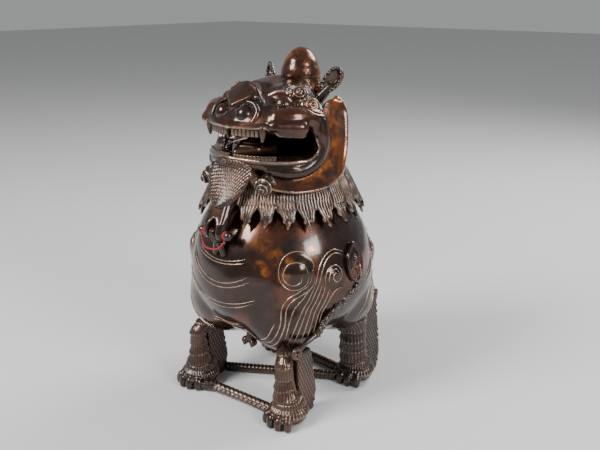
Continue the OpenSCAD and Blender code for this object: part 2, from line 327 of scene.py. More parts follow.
def seated(bm, voxel, smooth=4):
    """Casts masses and keeps them out of the bowl's hollow."""
    return reshaped(cast(bm, voxel, smooth), out_of_bowl)


def wires(lines, radius, taper=0.12):
    """Round wires along lines, thinner towards their ends, as one mesh."""
    curve = bpy.data.curves.new("wires", "CURVE")
    curve.dimensions = "3D"
    curve.bevel_depth = radius * MM
    curve.bevel_resolution = 1
    curve.use_fill_caps = True
    for line in lines:
        run = curve.splines.new("POLY")
        run.points.add(len(line) - 1)
        t = np.linspace(0, 1, len(line))
        thick = np.clip(np.minimum(t, 1 - t) / taper, 0.25, 1) if taper else np.ones(len(line))
        run.points.foreach_set("co", np.hstack([line[:, :3] * MM, np.ones((len(line), 1))]).ravel())
        run.points.foreach_set("radius", thick)
    obj = put_in_scene("wires", curve)
    mesh = bpy.data.meshes.new_from_object(obj)
    bpy.data.objects.remove(obj)
    bpy.data.curves.remove(curve)
    # Every wire counts as a full crest, so a bronze finish paints it pale brass all along its length: a
    # painted highlight on each line.
    keep(mesh, "relief", np.ones(len(mesh.vertices)))
    return mesh


def joined(*meshes):
    """Several meshes as one, with what was kept for their finish."""
    bm = bmesh.new()
    kept = {"relief": [], "amber": []}
    for mesh in meshes:
        for name, rows in kept.items():
            values = np.zeros(len(mesh.vertices), np.float32)
            layer = mesh.attributes.get(name)
            if layer is not None:
                layer.data.foreach_get("value", values)
            rows.append(values)
        bm.from_mesh(mesh)
        bpy.data.meshes.remove(mesh)
    whole = bpy.data.meshes.new("whole")
    bm.to_mesh(whole)
    bm.free()
    for name, rows in kept.items():
        keep(whole, name, np.concatenate(rows))
    return whole


def surface(rows, across, along):
    """A grid laid through rows of points, as one open sheet."""
    def sampled(line, count):
        return line[np.linspace(0, len(line) - 1, count).astype(int)]

    wide, tall, inside = 60, 40, 1.001
    samples = np.array([sampled(smooth_line(row, 0.01), wide) for row in rows])
    columns = np.array([sampled(smooth_line(samples[:, k], 0.05), tall) for k in range(wide)])
    bm = bmesh.new()
    bmesh.ops.create_grid(bm, x_segments=along, y_segments=across, size=0.5)
    for vert in bm.verts:
        u, v = (vert.co.x + 0.5) * (wide - inside), (vert.co.y + 0.5) * (tall - inside)
        i, j = int(u), int(v)
        fu, fv = u - i, v - j
        low = columns[i, j] * (1 - fu) + columns[i + 1, j] * fu
        high = columns[i, j + 1] * (1 - fu) + columns[i + 1, j + 1] * fu
        vert.co = Vector(low * (1 - fv) + high * fv) * MM
    return bm


def thick_sheet(rows, across, along, thickness):
    """A sheet laid through rows of points, with its thickness, as a mass to cast."""
    sheet = as_object("sheet", surface(rows, across, along))
    wall = sheet.modifiers.new("wall", "SOLIDIFY")
    wall.thickness = thickness * MM
    wall.offset = 0
    body = baked(sheet)
    bm = bmesh.new()
    bm.from_mesh(body)
    bpy.data.meshes.remove(body)
    return bm


def turned(profile, steps):
    """A closed solid of revolution about Z from a profile of (radius, height)."""
    bm = bmesh.new()
    verts = [bm.verts.new((r * MM, 0, z * MM)) for r, z in profile]
    edges = [bm.edges.new(pair) for pair in zip(verts, verts[1:])]
    bmesh.ops.spin(bm, geom=verts + edges, cent=(0, 0, 0), axis=(0, 0, 1), angle=TURN, steps=steps,
                   use_merge=True)
    bmesh.ops.remove_doubles(bm, verts=bm.verts, dist=1e-6)
    bmesh.ops.recalc_face_normals(bm, faces=bm.faces)
    mesh = bpy.data.meshes.new("turned")
    bm.to_mesh(mesh)
    bm.free()
    return mesh


# ------------------------------------------------------------------ finishes
class Nodes:
    """Short calls for building a node tree."""

    def __init__(self, material):
        material.use_nodes = True
        self.tree = material.node_tree
        self.tree.nodes.clear()

    def add(self, kind, **settings):
        node = self.tree.nodes.new(kind)
        for key, value in settings.items():
            if hasattr(node, key):
                setattr(node, key, value)
            else:
                node.inputs[key].default_value = value
        return node

    def link(self, out, into):
        self.tree.links.new(out, into)

    def noise(self, coords, scale, detail=4.0, rough=0.6, distortion=0.0):
        node = self.add("ShaderNodeTexNoise", Scale=scale, Detail=detail, Roughness=rough,
                        Distortion=distortion)
        self.link(coords, node.inputs["Vector"])
        return node.outputs["Fac"]

    def ramp(self, value, low, high, start=0.0, end=1.0):
        spans = {"From Min": low, "From Max": high, "To Min": start, "To Max": end}
        node = self.add("ShaderNodeMapRange", interpolation_type="SMOOTHSTEP", **spans)
        self.link(value, node.inputs["Value"])
        return node.outputs["Result"]

    def math(self, kind, a, b):
        node = self.add("ShaderNodeMath", operation=kind)
        for slot, value in enumerate((a, b)):
            if isinstance(value, (int, float)):
                node.inputs[slot].default_value = value
            else:
                self.link(value, node.inputs[slot])
        return node.outputs[0]

    def mix(self, factor, a, b):
        node = self.add("ShaderNodeMix", data_type="RGBA")
        self.link(factor, node.inputs["Factor"])
        for slot, value in (("A", a), ("B", b)):
            socket = [s for s in node.inputs if s.name == slot and s.type == "RGBA"][0]
            if isinstance(value, tuple):
                socket.default_value = (*value, 1)
            else:
                self.link(value, socket)
        return [s for s in node.outputs if s.type == "RGBA"][0]

    def bump(self, height, strength, distance, shader):
        node = self.add("ShaderNodeBump", Strength=strength, Distance=distance)
        self.link(height, node.inputs["Height"])
        self.link(node.outputs["Normal"], shader.inputs["Normal"])

    def show(self, colour, shader):
        self.link(colour, shader.inputs["Base Color"])
        self.link(shader.outputs["BSDF"], self.add("ShaderNodeOutputMaterial").inputs["Surface"])


def bronze(name, dark, warm, amber, brass, dust, warmth, amber_share, wear_and_highlight, gloss, grain):
    """Old patinated bronze: mottled skin, amber places, dust in the cuts, and brass on crests: wear on the
    carved crests, and a painted highlight on parts marked as full crests, such as the wires.
    """
    material = bpy.data.materials.new(name)
    n = Nodes(material)
    coords = n.add("ShaderNodeTexCoord").outputs["Object"]
    cloud = n.noise(coords, 32, 5, 0.62, 0.6)
    fine = n.noise(coords, 240, 6, 0.7)
    glow = n.noise(coords, 21, 3, 0.5, 0.9)
    colour = n.mix(n.ramp(cloud, 0.62 - warmth, 0.80 - warmth), dark, warm)
    spots = n.math("MULTIPLY", n.add("ShaderNodeAttribute", attribute_name="amber").outputs["Fac"],
                   n.ramp(n.noise(coords, 160, 4, 0.6, 0.5), 0.38, 0.70, 0.0, 0.8))
    patches = n.ramp(glow, 0.86 - amber_share, 1.00 - amber_share, 0.0, 0.55)
    colour = n.mix(n.math("MAXIMUM", spots, patches), colour, amber)
    colour = n.mix(n.ramp(fine, 0.35, 0.75, 0.0, 0.35), colour, warm)
    relief = n.add("ShaderNodeAttribute", attribute_name="relief").outputs["Fac"]
    point = n.add("ShaderNodeNewGeometry").outputs["Pointiness"]
    in_cut = n.math("MAXIMUM", n.ramp(relief, 0.0, -0.7), n.ramp(point, 0.49, 0.40))
    colour = n.mix(n.math("MULTIPLY", in_cut, 0.75), colour, dust)
    # Brass on crests: worn metal on carved crests, and a painted highlight where a part is marked as a full
    # crest.
    crest = n.math("MAXIMUM", n.ramp(relief, 0.35, 1.0), n.ramp(point, 0.53, 0.62))
    rubbed_and_highlit = n.math("MULTIPLY", crest, n.ramp(fine, 0.30, 0.62, 0.35, 1.0))
    colour = n.mix(n.math("MULTIPLY", rubbed_and_highlit, wear_and_highlight), colour, brass)
    lacquer = {"Metallic": 0.72, "Coat Weight": 0.55, "Coat Roughness": gloss * 0.55, "Coat IOR": 1.5}
    shader = n.add("ShaderNodeBsdfPrincipled", **lacquer)
    rough = n.ramp(n.noise(coords, 70, 4, 0.6), 0.3, 0.75, gloss, gloss + 0.18)
    rough = n.math("ADD", rough, n.math("MULTIPLY", in_cut, 0.25))
    n.link(rough, shader.inputs["Roughness"])
    height = n.math("ADD", n.math("MULTIPLY", n.noise(coords, 900, 4, 0.6), 0.35),
                    n.noise(coords, 170, 3, 0.5))
    n.bump(height, grain, 0.0004, shader)
    n.show(colour, shader)


def thread_finish():
    """Spun red thread: fibres along the ply and a soft sheen."""
    material = bpy.data.materials.new("spun_red_thread")
    n = Nodes(material)
    coords = n.add("ShaderNodeTexCoord").outputs["Object"]
    fibre = n.noise(coords, 2600, 3, 0.7)
    colour = n.mix(n.ramp(fibre, 0.3, 0.7), (0.20, 0.004, 0.004), (0.50, 0.014, 0.012))
    shader = n.add("ShaderNodeBsdfPrincipled", **{"Roughness": 0.75, "Sheen Weight": 0.1})
    n.bump(fibre, 0.6, 0.0001, shader)
    n.show(colour, shader)


def finishes():
    """The object's finishes by name, made once."""
    if "polished_dark_bronze" not in bpy.data.materials:
        dark, warm, amber = (0.020, 0.012, 0.009), (0.095, 0.028, 0.012), (0.46, 0.13, 0.014)
        brass, dust = (0.52, 0.36, 0.26), (0.050, 0.038, 0.031)
        bronze("polished_dark_bronze", dark, warm, amber, brass, dust, 0.17, 0.16, 0.85, 0.17, 0.10)
        bronze("worn_brown_bronze", (0.034, 0.023, 0.018), (0.090, 0.044, 0.026), amber, (0.50, 0.36, 0.27),
               (0.008, 0.006, 0.005), 0.20, 0.10, 0.72, 0.24, 0.20)
        bronze("amber_patina_bronze", (0.030, 0.014, 0.009), (0.15, 0.042, 0.012), amber, brass, dust,
               0.20, 0.24, 0.9, 0.19, 0.12)
        thread_finish()
    return bpy.data.materials


FINISH = {"dark_bronze": "polished_dark_bronze", "worn_bronze": "worn_brown_bronze",
          "amber_bronze": "amber_patina_bronze", "red_thread": "spun_red_thread"}


def piece(name, mesh, body, slot, *nodes):
    """Puts a finished mesh on its body, in its finish, in place of its CAD nodes."""
    mesh.name = name
    obj = put_in_scene(name, mesh)
    mesh.shade_smooth()
    mesh.materials.clear()
    mesh.materials.append(finishes()[FINISH[slot]])
    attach(obj, body)
    if nodes:
        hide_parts(*nodes)
    return obj


# ------------------------------------------------------------------ bowl
def bowl_mesh():
    """The bowl's wall, closed underneath and open at the neck."""
    rows, inner_rows = 150, 26
    profile = []
    for count, inset, order in ((rows, 0.0, 1), (inner_rows, WALL, -1)):
        low = BELLY_Z - BELLY_DROP + inset
        step = [low + (LEDGE_Z - low) * (1 - math.cos(math.pi / 2 * i / count)) for i in range(count + 1)]
        profile += [(float(bowl_radius(z, inset)), z) for z in step][::order]
    return turned(profile, 360)


# Bosses on the bowl, in degrees round from the front and height
BOSS = (50.8, 86.5)
SMALL_BOSS = (73.4, 82.0)
REAR_BOSS = (126.0, 84.0)
# Swelling of the bowl above each leg: where its middle is, how far it reaches and how much it rises
HAUNCH_Z, HAUNCH_REACH, HAUNCH_HEIGHT = 46.5, 25.0, 9.2
# Lines on the flank, in degrees round from the front and height
FLANK_LINES = (
    ((58.5, 84), (60.5, 90), (56.5, 95.5), (50, 97), (43.5, 95), (39.6, 89), (40.4, 82), (45, 77.6),
     (51, 77.2), (55.6, 80), (56.6, 84.5)),
    ((56.6, 84.5), (55, 89), (50.5, 91.5), (45, 90.5), (42, 86), (43.2, 81.6), (47.5, 79.6), (51.6, 81),
     (52.6, 84)),
    ((22.5, 46.4), (34, 50.5), (39.9, 58.5), (41.1, 66.5), (44.6, 72), (51.4, 75.9), (57, 79.5), (59.3, 85)),
    ((24.5, 44.6), (36.5, 49.4), (42.4, 58), (43.8, 66), (47.5, 71), (54, 74.6), (59.3, 78.4), (61.2, 84)),
    ((26, 48.6), (32, 52.4), (37, 59.5)),
    ((44.2, 49.7), (50.1, 60.3), (55.7, 69.2), (60.6, 78.6), (63.6, 86.9), (68.2, 93), (75.2, 95.6),
     (82, 93.6)),
    ((47.4, 49.4), (52.9, 59.9), (58.2, 69.4), (62.8, 78.6), (66, 86.2), (70, 91.6), (76, 93.6),
     (81.6, 91.8)),
    ((67.4, 78.3), (67.6, 82.6), (70.6, 86.6), (75.6, 87.4), (79, 84), (78.2, 79.8), (74.8, 78.6), (72, 80.8),
     (73.4, 83.4), (75.8, 82.4)),
    ((69.6, 79), (69.8, 82.2), (72.2, 85), (75.4, 85.2), (77, 82.6)),
    ((43, 53), (47, 64), (53, 71.4), (58.6, 78)),
    ((51.4, 48.8), (56.4, 60), (61.6, 70.6), (65.2, 78)),
    ((55.1, 48.6), (59.6, 60.2), (64.4, 70.6), (67.4, 77.6)),
    ((59, 47.8), (62.4, 58.6), (66.8, 68.6), (70, 75.4)),
    ((62.8, 47.1), (64.9, 58.2), (69, 67.6), (74, 73.6), (80.1, 74.8)),
    ((101, 74), (108, 77), (114, 81.5), (118.6, 88), (124, 93.6), (131, 95), (136.6, 91), (138, 84),
     (134, 78), (127.6, 76.4), (122, 79.4), (120.6, 85), (124, 89.4), (129, 89.4), (131.6, 85.4)),
    ((102, 70.5), (110, 74), (116.4, 79.4), (119.4, 83.6)),
    ((104, 50), (110, 60), (118, 68.6), (128, 73), (137, 75.6), (141, 83), (138.6, 92)),
    ((109, 49), (115, 58.4), (123, 66), (133, 70.4), (142, 74.6), (145, 84)),
    ((114, 48), (120, 56.6), (128, 63), (138, 67.4), (147, 73)),
    ((119, 47), (125, 54.6), (133, 60.4), (142, 64.4)),
)
# Chest ribs: height at the centre, rise at the ends, degrees to the right and left
CHEST_RIBS = ((89.4, 3.4, 24, 19), (87.9, 2.8, 24, 18), (77.3, 5.6, 34, 21), (74.8, 5.6, 35, 22),
              (65.6, 5.2, 37, 26), (63.0, 5.8, 38, 25), (50.6, 2.6, 16, 11), (48.9, 2.6, 18, 12))


def bowl_lines():
    lines = []
    for middle, rise, right, left in CHEST_RIBS:
        turns = np.linspace(-right, left, 9)
        lines.append(on_bowl([(t, middle + rise * (t / max(left, 21)) ** 2) for t in turns], out=0.05))
    for _, side in SIDES:
        lines += [on_bowl(marks, side, out=0.05) for marks in FLANK_LINES]
    return lines


def bowl_swellings():
    """Centre, reach and height of each boss and of each haunch above a leg."""
    marks = [(on_bowl([mark, mark], side)[0], reach, height) for _, side in SIDES
             for mark, reach, height in ((BOSS, 9.5, 2.6), (SMALL_BOSS, 5.5, 1.3), (REAR_BOSS, 8.0, 2.0))]
    for x, y, _ in LEGS.values():
        place = math.degrees(math.atan2(x, -y)), HAUNCH_Z
        marks.append((on_bowl([place, place])[0], HAUNCH_REACH, HAUNCH_HEIGHT))
    return marks


class CENSER_OT_bowl(bpy.types.Operator):
    """Bowl with its shoulder bosses and the fine ribs and scrolls cast on it"""
    bl_idname = "censer.bowl"
    bl_label = "Bowl"

    def execute(self, context):
        carving = Carving(bowl_mesh())
        carving.swell += 0.12 * np.sin(carving.place[:, 2] * 0.35) * np.sin(carving.place[:, 0] * 0.21)
        for centre, reach, height in bowl_swellings():
            carving.dome(centre, reach, height)
        outside = np.hypot(carving.place[:, 0], carving.place[:, 1]) > bowl_radius(carving.place[:, 2], 1.5)
        outside |= carving.place[:, 2] < BELLY_Z - BELLY_DROP + 1.5
        carving.swell *= outside & (carving.place[:, 2] < LEDGE_Z - 1)
        for marks, reach in (([(27, 100), (34, 98), (38, 94)], 5.0), ([(28, 90), (31, 86)], 4.0),
                             ([(60, 98), (61, 93)], 2.6), ([(45, 92), (42, 84)], 4.0)):
            carving.tint(on_bowl(marks), reach)
        mesh = carving.finish()
        lines = wires(bowl_lines(), context.scene.censer.line_width / MM / 2)
        lifted = Carving(lines)
        for centre, reach, height in bowl_swellings():
            lifted.dome(centre, reach, height)
        drop = np.where(lifted.place[:, 2] < BELLY_Z, BELLY_DROP, SHOULDER_RISE)
        wide = np.full(len(drop), BELLY_R)
        push = (lifted.place - (0, 0, BELLY_Z)) / np.stack([wide, wide, drop], axis=1) ** 2
        push /= np.linalg.norm(push, axis=1)[:, None]
        moved = lifted.place + push * lifted.swell[:, None]
        lines.vertices.foreach_set("co", (moved * MM).astype(np.float32).ravel())
        piece("cast_bowl", joined(mesh, lines), "vessel", "dark_bronze", "vessel_bowl")
        return {"FINISHED"}


# ------------------------------------------------------------------ legs
def leg_mesh(x, y):
    """A column of hair bands under the belly, ending in a cuff over the paw."""
    bm = bmesh.new()
    front = y < 0
    slim = 0.74 if front else 1.16
    root = (x * 0.70, y * 0.70 - (0 if front else -2), 46 if front else 54, 6.4 * slim)
    chain(bm, [root, (x * 0.80, y * 0.81, 41, 6.2 * slim), (x * 0.95, y - 1.2, 34.5, 6.1 * slim),
               (x * 0.96, y - 1.4, 25, 6.6 * slim), (x * 0.97, y - 1.0, 16, 7.4 * (slim + 1) / 2),
               (x, y, 9.5, 8.6)])
    if not front:
        chain(bm, [root, (x * 0.90, y - 2, 44, 9.4), (x * 0.94, y - 1, 36, 8.0)])
    ball(bm, (x, y - 0.5, 6.5, 10.6, 10.6, 5.6))
    ball(bm, (x, y + 1, 3.0, 9.2, 9.6, 4.5))
    carving = Carving(seated(bm, 0.5))
    z = carving.place[:, 2]
    axis_x = np.interp(z, (14, 35, 50), (x * 0.98, x * 0.95, x * 0.72))
    axis_y = np.interp(z, (14, 35, 50), (y - 1, y - 1.2, y * 0.72))
    angle = np.arctan2(carving.place[:, 0] - axis_x, axis_y - carving.place[:, 1])
    # Bands that overlap like tiles, each with upright hatching
    pitch, foot = 6.4, 14.5
    droop = 1.3 * np.cos(angle)
    count = (z - foot + droop) / pitch
    within = count - np.floor(count)
    on_column = np.clip((z - foot + droop) / 0.6, 0, 1) * np.clip((46 - z) / 5, 0, 1)
    facing = np.clip(0.75 + np.cos(angle), 0, 1)
    edge = np.exp(-((within / 0.13) ** 2)) + np.exp(-(((within - 1) / 0.05) ** 2))
    carving.swell += 1.1 * (1 - within) * on_column * facing
    hatch = np.cos(angle * 26)
    carving.lift += (0.24 * hatch * (within < 0.84) + 0.2 * edge) * on_column * facing
    # Hair cuff spread over the claws
    cuff = np.clip((z - 5.6) / 0.8, 0, 1) * np.clip((foot - droop - z) / 0.8, 0, 1)
    carving.swell += 0.7 * cuff
    carving.lift += (0.30 * np.cos(angle * 36) + 0.3 * np.exp(-(((z - 6.3) / 0.7) ** 2))) * cuff
    return carving.finish(0.4)


def claw_mesh(x, y):
    bm = bmesh.new()
    for count in range(4):
        turn = math.radians(-90 + 100 * ((count + 0.5) / 4 - 0.5))
        reach = [(8.0, 6.2, 2.8), (10.6, 5.8, 2.9), (12.4, 3.9, 2.5), (13.0, 1.8, 1.9)]
        chain(bm, [(x + r * math.cos(turn), y + r * math.sin(turn), z, size) for r, z, size in reach])
    carving = Carving(seated(bm, 0.38, 2))
    # A crease behind each nail
    away = np.hypot(carving.place[:, 0] - x, carving.place[:, 1] - y)
    carving.lift -= 0.35 * np.exp(-(((away - 12.4) / 0.5) ** 2)) * (carving.place[:, 2] > 1.0)
    carving.lift += 0.15 * (away > 11.6)
    return carving.finish(0.4)


def tuft_mesh(x, y, top, curled):
    bm = bmesh.new()
    outline = ((6.5, 1.6), (16, 1.6), (18.4, 12), (15.6, 24), (13.6, top - 2), (5, top - 2))
    hull(bm, [(x + side * TUFT_HALF, y + depth, z, 1.5) for depth, z in outline for side in (LEFT, RIGHT)])
    if curled:
        chain(bm, [(x, y + 12, top - 14, 3.0), (x, y + 14.5, top - 6, 2.8), (x, y + 15.6, top, 3.0),
                   (x, y + 13.6, top + 1.4, 2.4)])
    carving = Carving(seated(bm, 0.5, 3))
    z, depth = carving.place[:, 2], carving.place[:, 1] - y
    flat = np.abs(carving.normal[:, 0])
    carving.lift += 0.20 * (np.cos(TURN * (z * 0.5 + depth) / 2.1)
                            + np.cos(TURN * (z * 0.5 - depth) / 2.1)) * flat
    back = np.clip(carving.normal[:, 1], 0, 1)
    carving.swell += 0.8 * np.abs(np.sin(math.pi * z / 4.2)) * back
    if curled:
        for side in (LEFT, RIGHT):
            carving.spiral((x + side * 3, y + 14.6, top), (side, 0, 0), 3.6, 1.5, 0.3)
    return carving.finish(0.4)


class CENSER_OT_legs(bpy.types.Operator):
    """Four legs with banded hair, their claws and the hair wedges behind them"""
    bl_idname = "censer.legs"
    bl_label = "Legs"

    def execute(self, context):
        for name, (x, y, top) in LEGS.items():
            piece("cast_%s_leg" % name, leg_mesh(x, y), "vessel", "worn_bronze", name + "_leg")
            piece("cast_%s_claws" % name, claw_mesh(x, y), "vessel", "worn_bronze", name + "_claws")
            tuft = tuft_mesh(x, y, top, name.startswith("rear"))
            piece("cast_%s_tuft" % name, tuft, "vessel", "worn_bronze", name + "_tuft")
        return {"FINISHED"}


# ------------------------------------------------------------------ flanks, belly and tail
# Even lift of a flame wing, and its outline in degrees round from the front and height
WING_LIFT = 0.01
WING = ((89, 75.8), (85.4, 79.5), (83.6, 85), (84.2, 90.6), (87.6, 94), (91.5, 96.4), (94.8, 93.4),
        (96.4, 87), (95.2, 81), (92.6, 77), (89, 75.8))


def wing_mesh(side):
    """A rim filled with ever smaller outlines, with an eye and three veins on it."""
    bm = bmesh.new()
    rim = on_bowl(WING, side, out=1.6, spacing=1.0)
    chain(bm, [(*row, 1.0) for row in rim[::3]])
    middle = rim.mean(0)
    for share in np.linspace(0.0, 0.92, 11):
        shrunk = middle + (rim - middle) * share
        scale = (bowl_radius(shrunk[:, 2]) + 0.1) / np.hypot(shrunk[:, 0], shrunk[:, 1])
        shrunk[:, :2] *= scale[:, None]
        for row in shrunk[::2]:
            ball(bm, (*row, 1.1))
    eye = on_bowl([(91, 87.5), (91, 87.5)], side, out=1.0)[0]
    ball(bm, (*eye, 1.7))
    chain(bm, [(*row, 0.7) for row in on_bowl([(88, 88), (91, 91), (94, 87.5), (91, 84), (88, 88)], side,
                                              0.9)])
    for low, high in (((88, 78), (86, 84)), ((90.5, 78), (90.5, 82.6)), ((93, 79), (95, 84))):
        chain(bm, [(*row, 0.6) for row in on_bowl([low, high], side, 1.0)[::4]])
    carving = Carving(seated(bm, 0.4, 2))
    carving.lift += WING_LIFT
    return carving.finish()


def ridge_mesh(side):
    """A run of curls down the flank. Only the left one ends in a ring at the elbow."""
    path = smooth_line(sided([(53, 3, 72), (51, -8, 66), (48.2, -19, 57.5), (45.6, -24, 49)], side), 0.5)
    bm = bmesh.new()
    chain(bm, [(*row, 2.0) for row in path[::6]])
    for count, row in enumerate(path[::5]):
        bump = (0.9, 0.9, -1.3)[count % 3]
        ball(bm, (row[0] + side * (1.0 + 0.3 * (count % 2)), row[1] - 0.6, row[2] + bump, 1.5))
        if count % 2:
            ball(bm, (row[0] + side * 0.4, row[1] + 0.8, row[2] - 1.6, 1.3))
    if side == LEFT:
        chain(bm, [(45.6, -24, 49, 1.9), (44.4, -30, 46.6, 1.5), (44, -36, 44, 1.5)])
        chain(bm, [(44, -38.4 + 2.6 * math.cos(a), 42.6 + 2.6 * math.sin(a), 1.25)
                   for a in np.linspace(0, TURN, 13)])
    else:
        chain(bm, [(-44, -25, 48, 2.2), (-43, -28.5, 45.6, 2.0)])
    carving = Carving(seated(bm, 0.4, 2))
    for count, row in enumerate(path[8::9]):
        carving.spiral((row[0] + side * 2, row[1], row[2]), (side, -0.4, 0.1), 3.0, 1.5, 0.28,
                       start=count * 0.3)
    return carving.finish(0.3)


def tail_mesh():
    """A tail laid up the back, with flame locks each side."""
    bm = bmesh.new()
    chain(bm, [(0, 50.0, 50, 4.5), (0, 53.4, 60, 4.8), (0, 54.6, 72, 4.2), (0, 52.6, 84, 3.8),
               (0, 48.8, 94, 3.2)])
    for side in (LEFT, RIGHT):
        for z, out in ((60, 7.5), (70, 8.5), (80, 7.5), (89, 5.5)):
            y = math.sqrt(max(0, float(bowl_radius(z + 5)) ** 2 - (out) ** 2)) + 0.6
            chain(bm, [(side * 2, y + 0.6, z - 3, 2.6), (side * out * 0.8, y, z + 2, 2.4),
                       (side * out, y - 0.2, z + 6, 1.6), (side * out * 0.7, y - 0.1, z + 7.5, 1.3)])
    carving = Carving(seated(bm, 0.5, 3))
    carving.lift += 0.22 * np.cos(TURN * carving.place[:, 0] / 2.2) * np.clip(carving.normal[:, 1], 0, 1)
    for side in (LEFT, RIGHT):
        for z, out in ((65, 6.6), (75, 7.6), (85, 6.6)):
            carving.spiral((side * out, 52, z + 1), (side * 0.3, 1, 0), 3.4, 1.6, 0.3, hand=side)
    return carving.finish(0.4)


class CENSER_OT_flanks(bpy.types.Operator):
    """Flame wings, curled flank ridges, tail and belly knob"""
    bl_idname = "censer.flanks"
    bl_label = "Flanks, Tail and Knob"

    def execute(self, context):
        for name, side in SIDES:
            piece("cast_%s_flame_wing" % name, wing_mesh(side), "vessel", "dark_bronze", name + "_flame_wing")
            piece("cast_%s_flank_ridge" % name, ridge_mesh(side), "vessel", "worn_bronze",
                  name + "_flank_ridge")
        piece("cast_tail", tail_mesh(), "vessel", "worn_bronze", "tail")
        bm = bmesh.new()
        chain(bm, [(0, -28, 38, 2.6), (0, -28.4, 35, 2.9)])
        for side in (LEFT, RIGHT):
            ball(bm, (side * 2.9, -29.2, 33.2, 2.6))
            ball(bm, (side * 2.9, -30.4, 31.2, 1.0))
        piece("cast_belly_knob", seated(bm, 0.35, 2), "vessel", "worn_bronze", "belly_bead_knob")
        return {"FINISHED"}


# ------------------------------------------------------------------ snake
def snake_mesh(start, end, scaled=True):
    (ax, ay), (bx, by) = start, end
    bm = bmesh.new()
    middle = ((ax + bx) / 2, (ay + by) / 2 + 0.6)
    chain(bm, [(ax, ay, 3.1, 3.0), (*middle, 3.1, 2.8), (bx, by, 3.1, 3.0)])
    carving = Carving(cast(bm, 0.4, 2))
    run = np.array([bx - ax, by - ay]) / math.hypot(bx - ax, by - ay)
    along = (carving.place[:, :2] - (ax, ay)) @ run
    across = (carving.place[:, :2] - (ax, ay)) @ np.array([-run[1], run[0]])
    angle = np.arctan2(across, carving.place[:, 2] - 3.1)
    if scaled:
        rows = np.floor(angle / (TURN / 7))
        block = np.abs(((along + rows % 2 * 1.7) / 3.4) % 1 - 0.5) * 2
        side = np.abs((angle / (TURN / 7)) % 1 - 0.5) * 2
        carving.lift += 0.42 * (1 - np.maximum(block, side) ** 4) - 0.12
    else:
        carving.lift += 0.16 * np.cos(TURN * along / 2.4)
    return reshaped(carving.finish(0.35), out_of_bowl)


class CENSER_OT_snake(bpy.types.Operator):
    """Scaled snake under the paws"""
    bl_idname = "censer.snake"
    bl_label = "Snake"

    def execute(self, context):
        bars = (("front", (-20, -42), (27, -40), True), ("cross", (-29, -19), (28, 14), False),
                ("rear", (-16, 27), (27, 24), False))
        for name, start, end, scaled in bars:
            mesh = snake_mesh(start, end, scaled)
            piece("cast_snake_%s" % name, mesh, "vessel", "worn_bronze", "snake_%s_bar" % name)
        bm = bmesh.new()
        hull(bm, [(-18, -42.5, 4, 3.6), (-21, -44.5, 3.8, 3.4), (-24, -46.2, 3.0, 2.4)])
        for side in (LEFT, RIGHT):
            ball(bm, (-20.5 + side * 1.6, -44.3 - side * 1.9, 6.6, 1.1))
        carving = Carving(seated(bm, 0.35, 2))
        carving.ridge([(-26.4, -46.0, 2.6), (-23.0, -48.2, 2.6), (-18, -46.4, 2.8)], -0.5, 0.5)
        piece("cast_snake_head", carving.finish(), "vessel", "worn_bronze", "snake_head")
        return {"FINISHED"}


# ------------------------------------------------------------------ hinge
class CENSER_OT_hinge(bpy.types.Operator):
    """Bell-shaped strap, its lug, the red thread tied to the pin, and the finish of the rings and the pin"""
    bl_idname = "censer.hinge"
    bl_label = "Hinge"

    def execute(self, context):
        bm = bmesh.new()
        hull(bm, both((3.4, -45.2, 123.5, 2.6), (4.9, -49.8, 114.5, 2.2), (3.4, -41, 124, 2.4),
                      (5.2, -52.6, 110, 1.9, 3.0, 2.6)))
        hull(bm, both((5.2, -52.8, 110, 1.9, 3.0, 2.6), (5.2, PIN_Y, PIN_Z, 1.9, 3.5, 3.5)))
        notch = bmesh.new()
        hull(notch, both(*((2.2, y, z, 0.75) for y in (-64, -42) for z in (96, 110.4)))
             + [(0, y, 112.6, 0.75) for y in (-64, -42)])
        strap = Carving(cast(bm, 0.38, 3, notch))
        for side in (LEFT, RIGHT):
            strap.ridge([(side * 3.9, -57, 105), (side * 3.7, -56, 110), (side * 1.6, -55, 113.6),
                         (0, -54.5, 114.4)],
                        0.3, 0.6)
        piece("cast_strap", strap.finish(), "head", "dark_bronze", "hinge_strap")

        half = 9.0
        t = np.linspace(0, 1, 90)
        u = 2 * t - 1
        path = np.stack([half * u, PIN_Y - 1.8 - 2.8 * (1 - u**2), PIN_Z - 1 - 6.5 * (1 - u**4)], axis=1)
        plies = []
        for ply in (0, math.pi):
            twist = TURN * t * 16 + ply
            plies.append(path + 0.24 * np.stack([0 * t, np.cos(twist), np.sin(twist)], axis=1))
        for side in (LEFT, RIGHT):
            for wrap in range(3):
                a = np.linspace(0, TURN, 30)
                x = side * (8.1 - 0.5 * wrap) + 0 * a
                plies.append(np.stack([x, PIN_Y + 2.05 * np.cos(a), PIN_Z + 2.05 * np.sin(a)], axis=1))
        piece("twisted_thread", wires(plies, 0.29, 0), "vessel", "red_thread", "red_thread")

        bm = bmesh.new()
        for row in both((1.0, PIN_Y, PIN_Z, 1.5, 3.9, 3.9), (1.0, -52.6, 102.4, 1.5, 3.2, 3.6)):
            ball(bm, row)
        for side in (LEFT, RIGHT):
            chain(bm, sided([(1.4, -51.6, 98.6, 2.0), (3.0, -50.6, 93.0, 1.7)], side))
        ball(bm, (0, -47, 97, 2.4, 3.4, 3.4))
        lug = Carving(seated(bm, 0.34, 2))
        lug.ridge([(0, -57.6, 106), (0, -56.6, 101), (0, -53.6, 96.4), (0, -52, 92)], -0.5, 0.5)
        piece("cast_lug", lug.finish(), "vessel", "dark_bronze", "hinge_knuckle")

        for node, slot in (("neck_ring", "dark_bronze"), ("seat_ring", "dark_bronze"),
                           ("hinge_pin", "worn_bronze")):
            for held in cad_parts[node].material_slots:
                held.material = finishes()[FINISH[slot]]
        return {"FINISHED"}


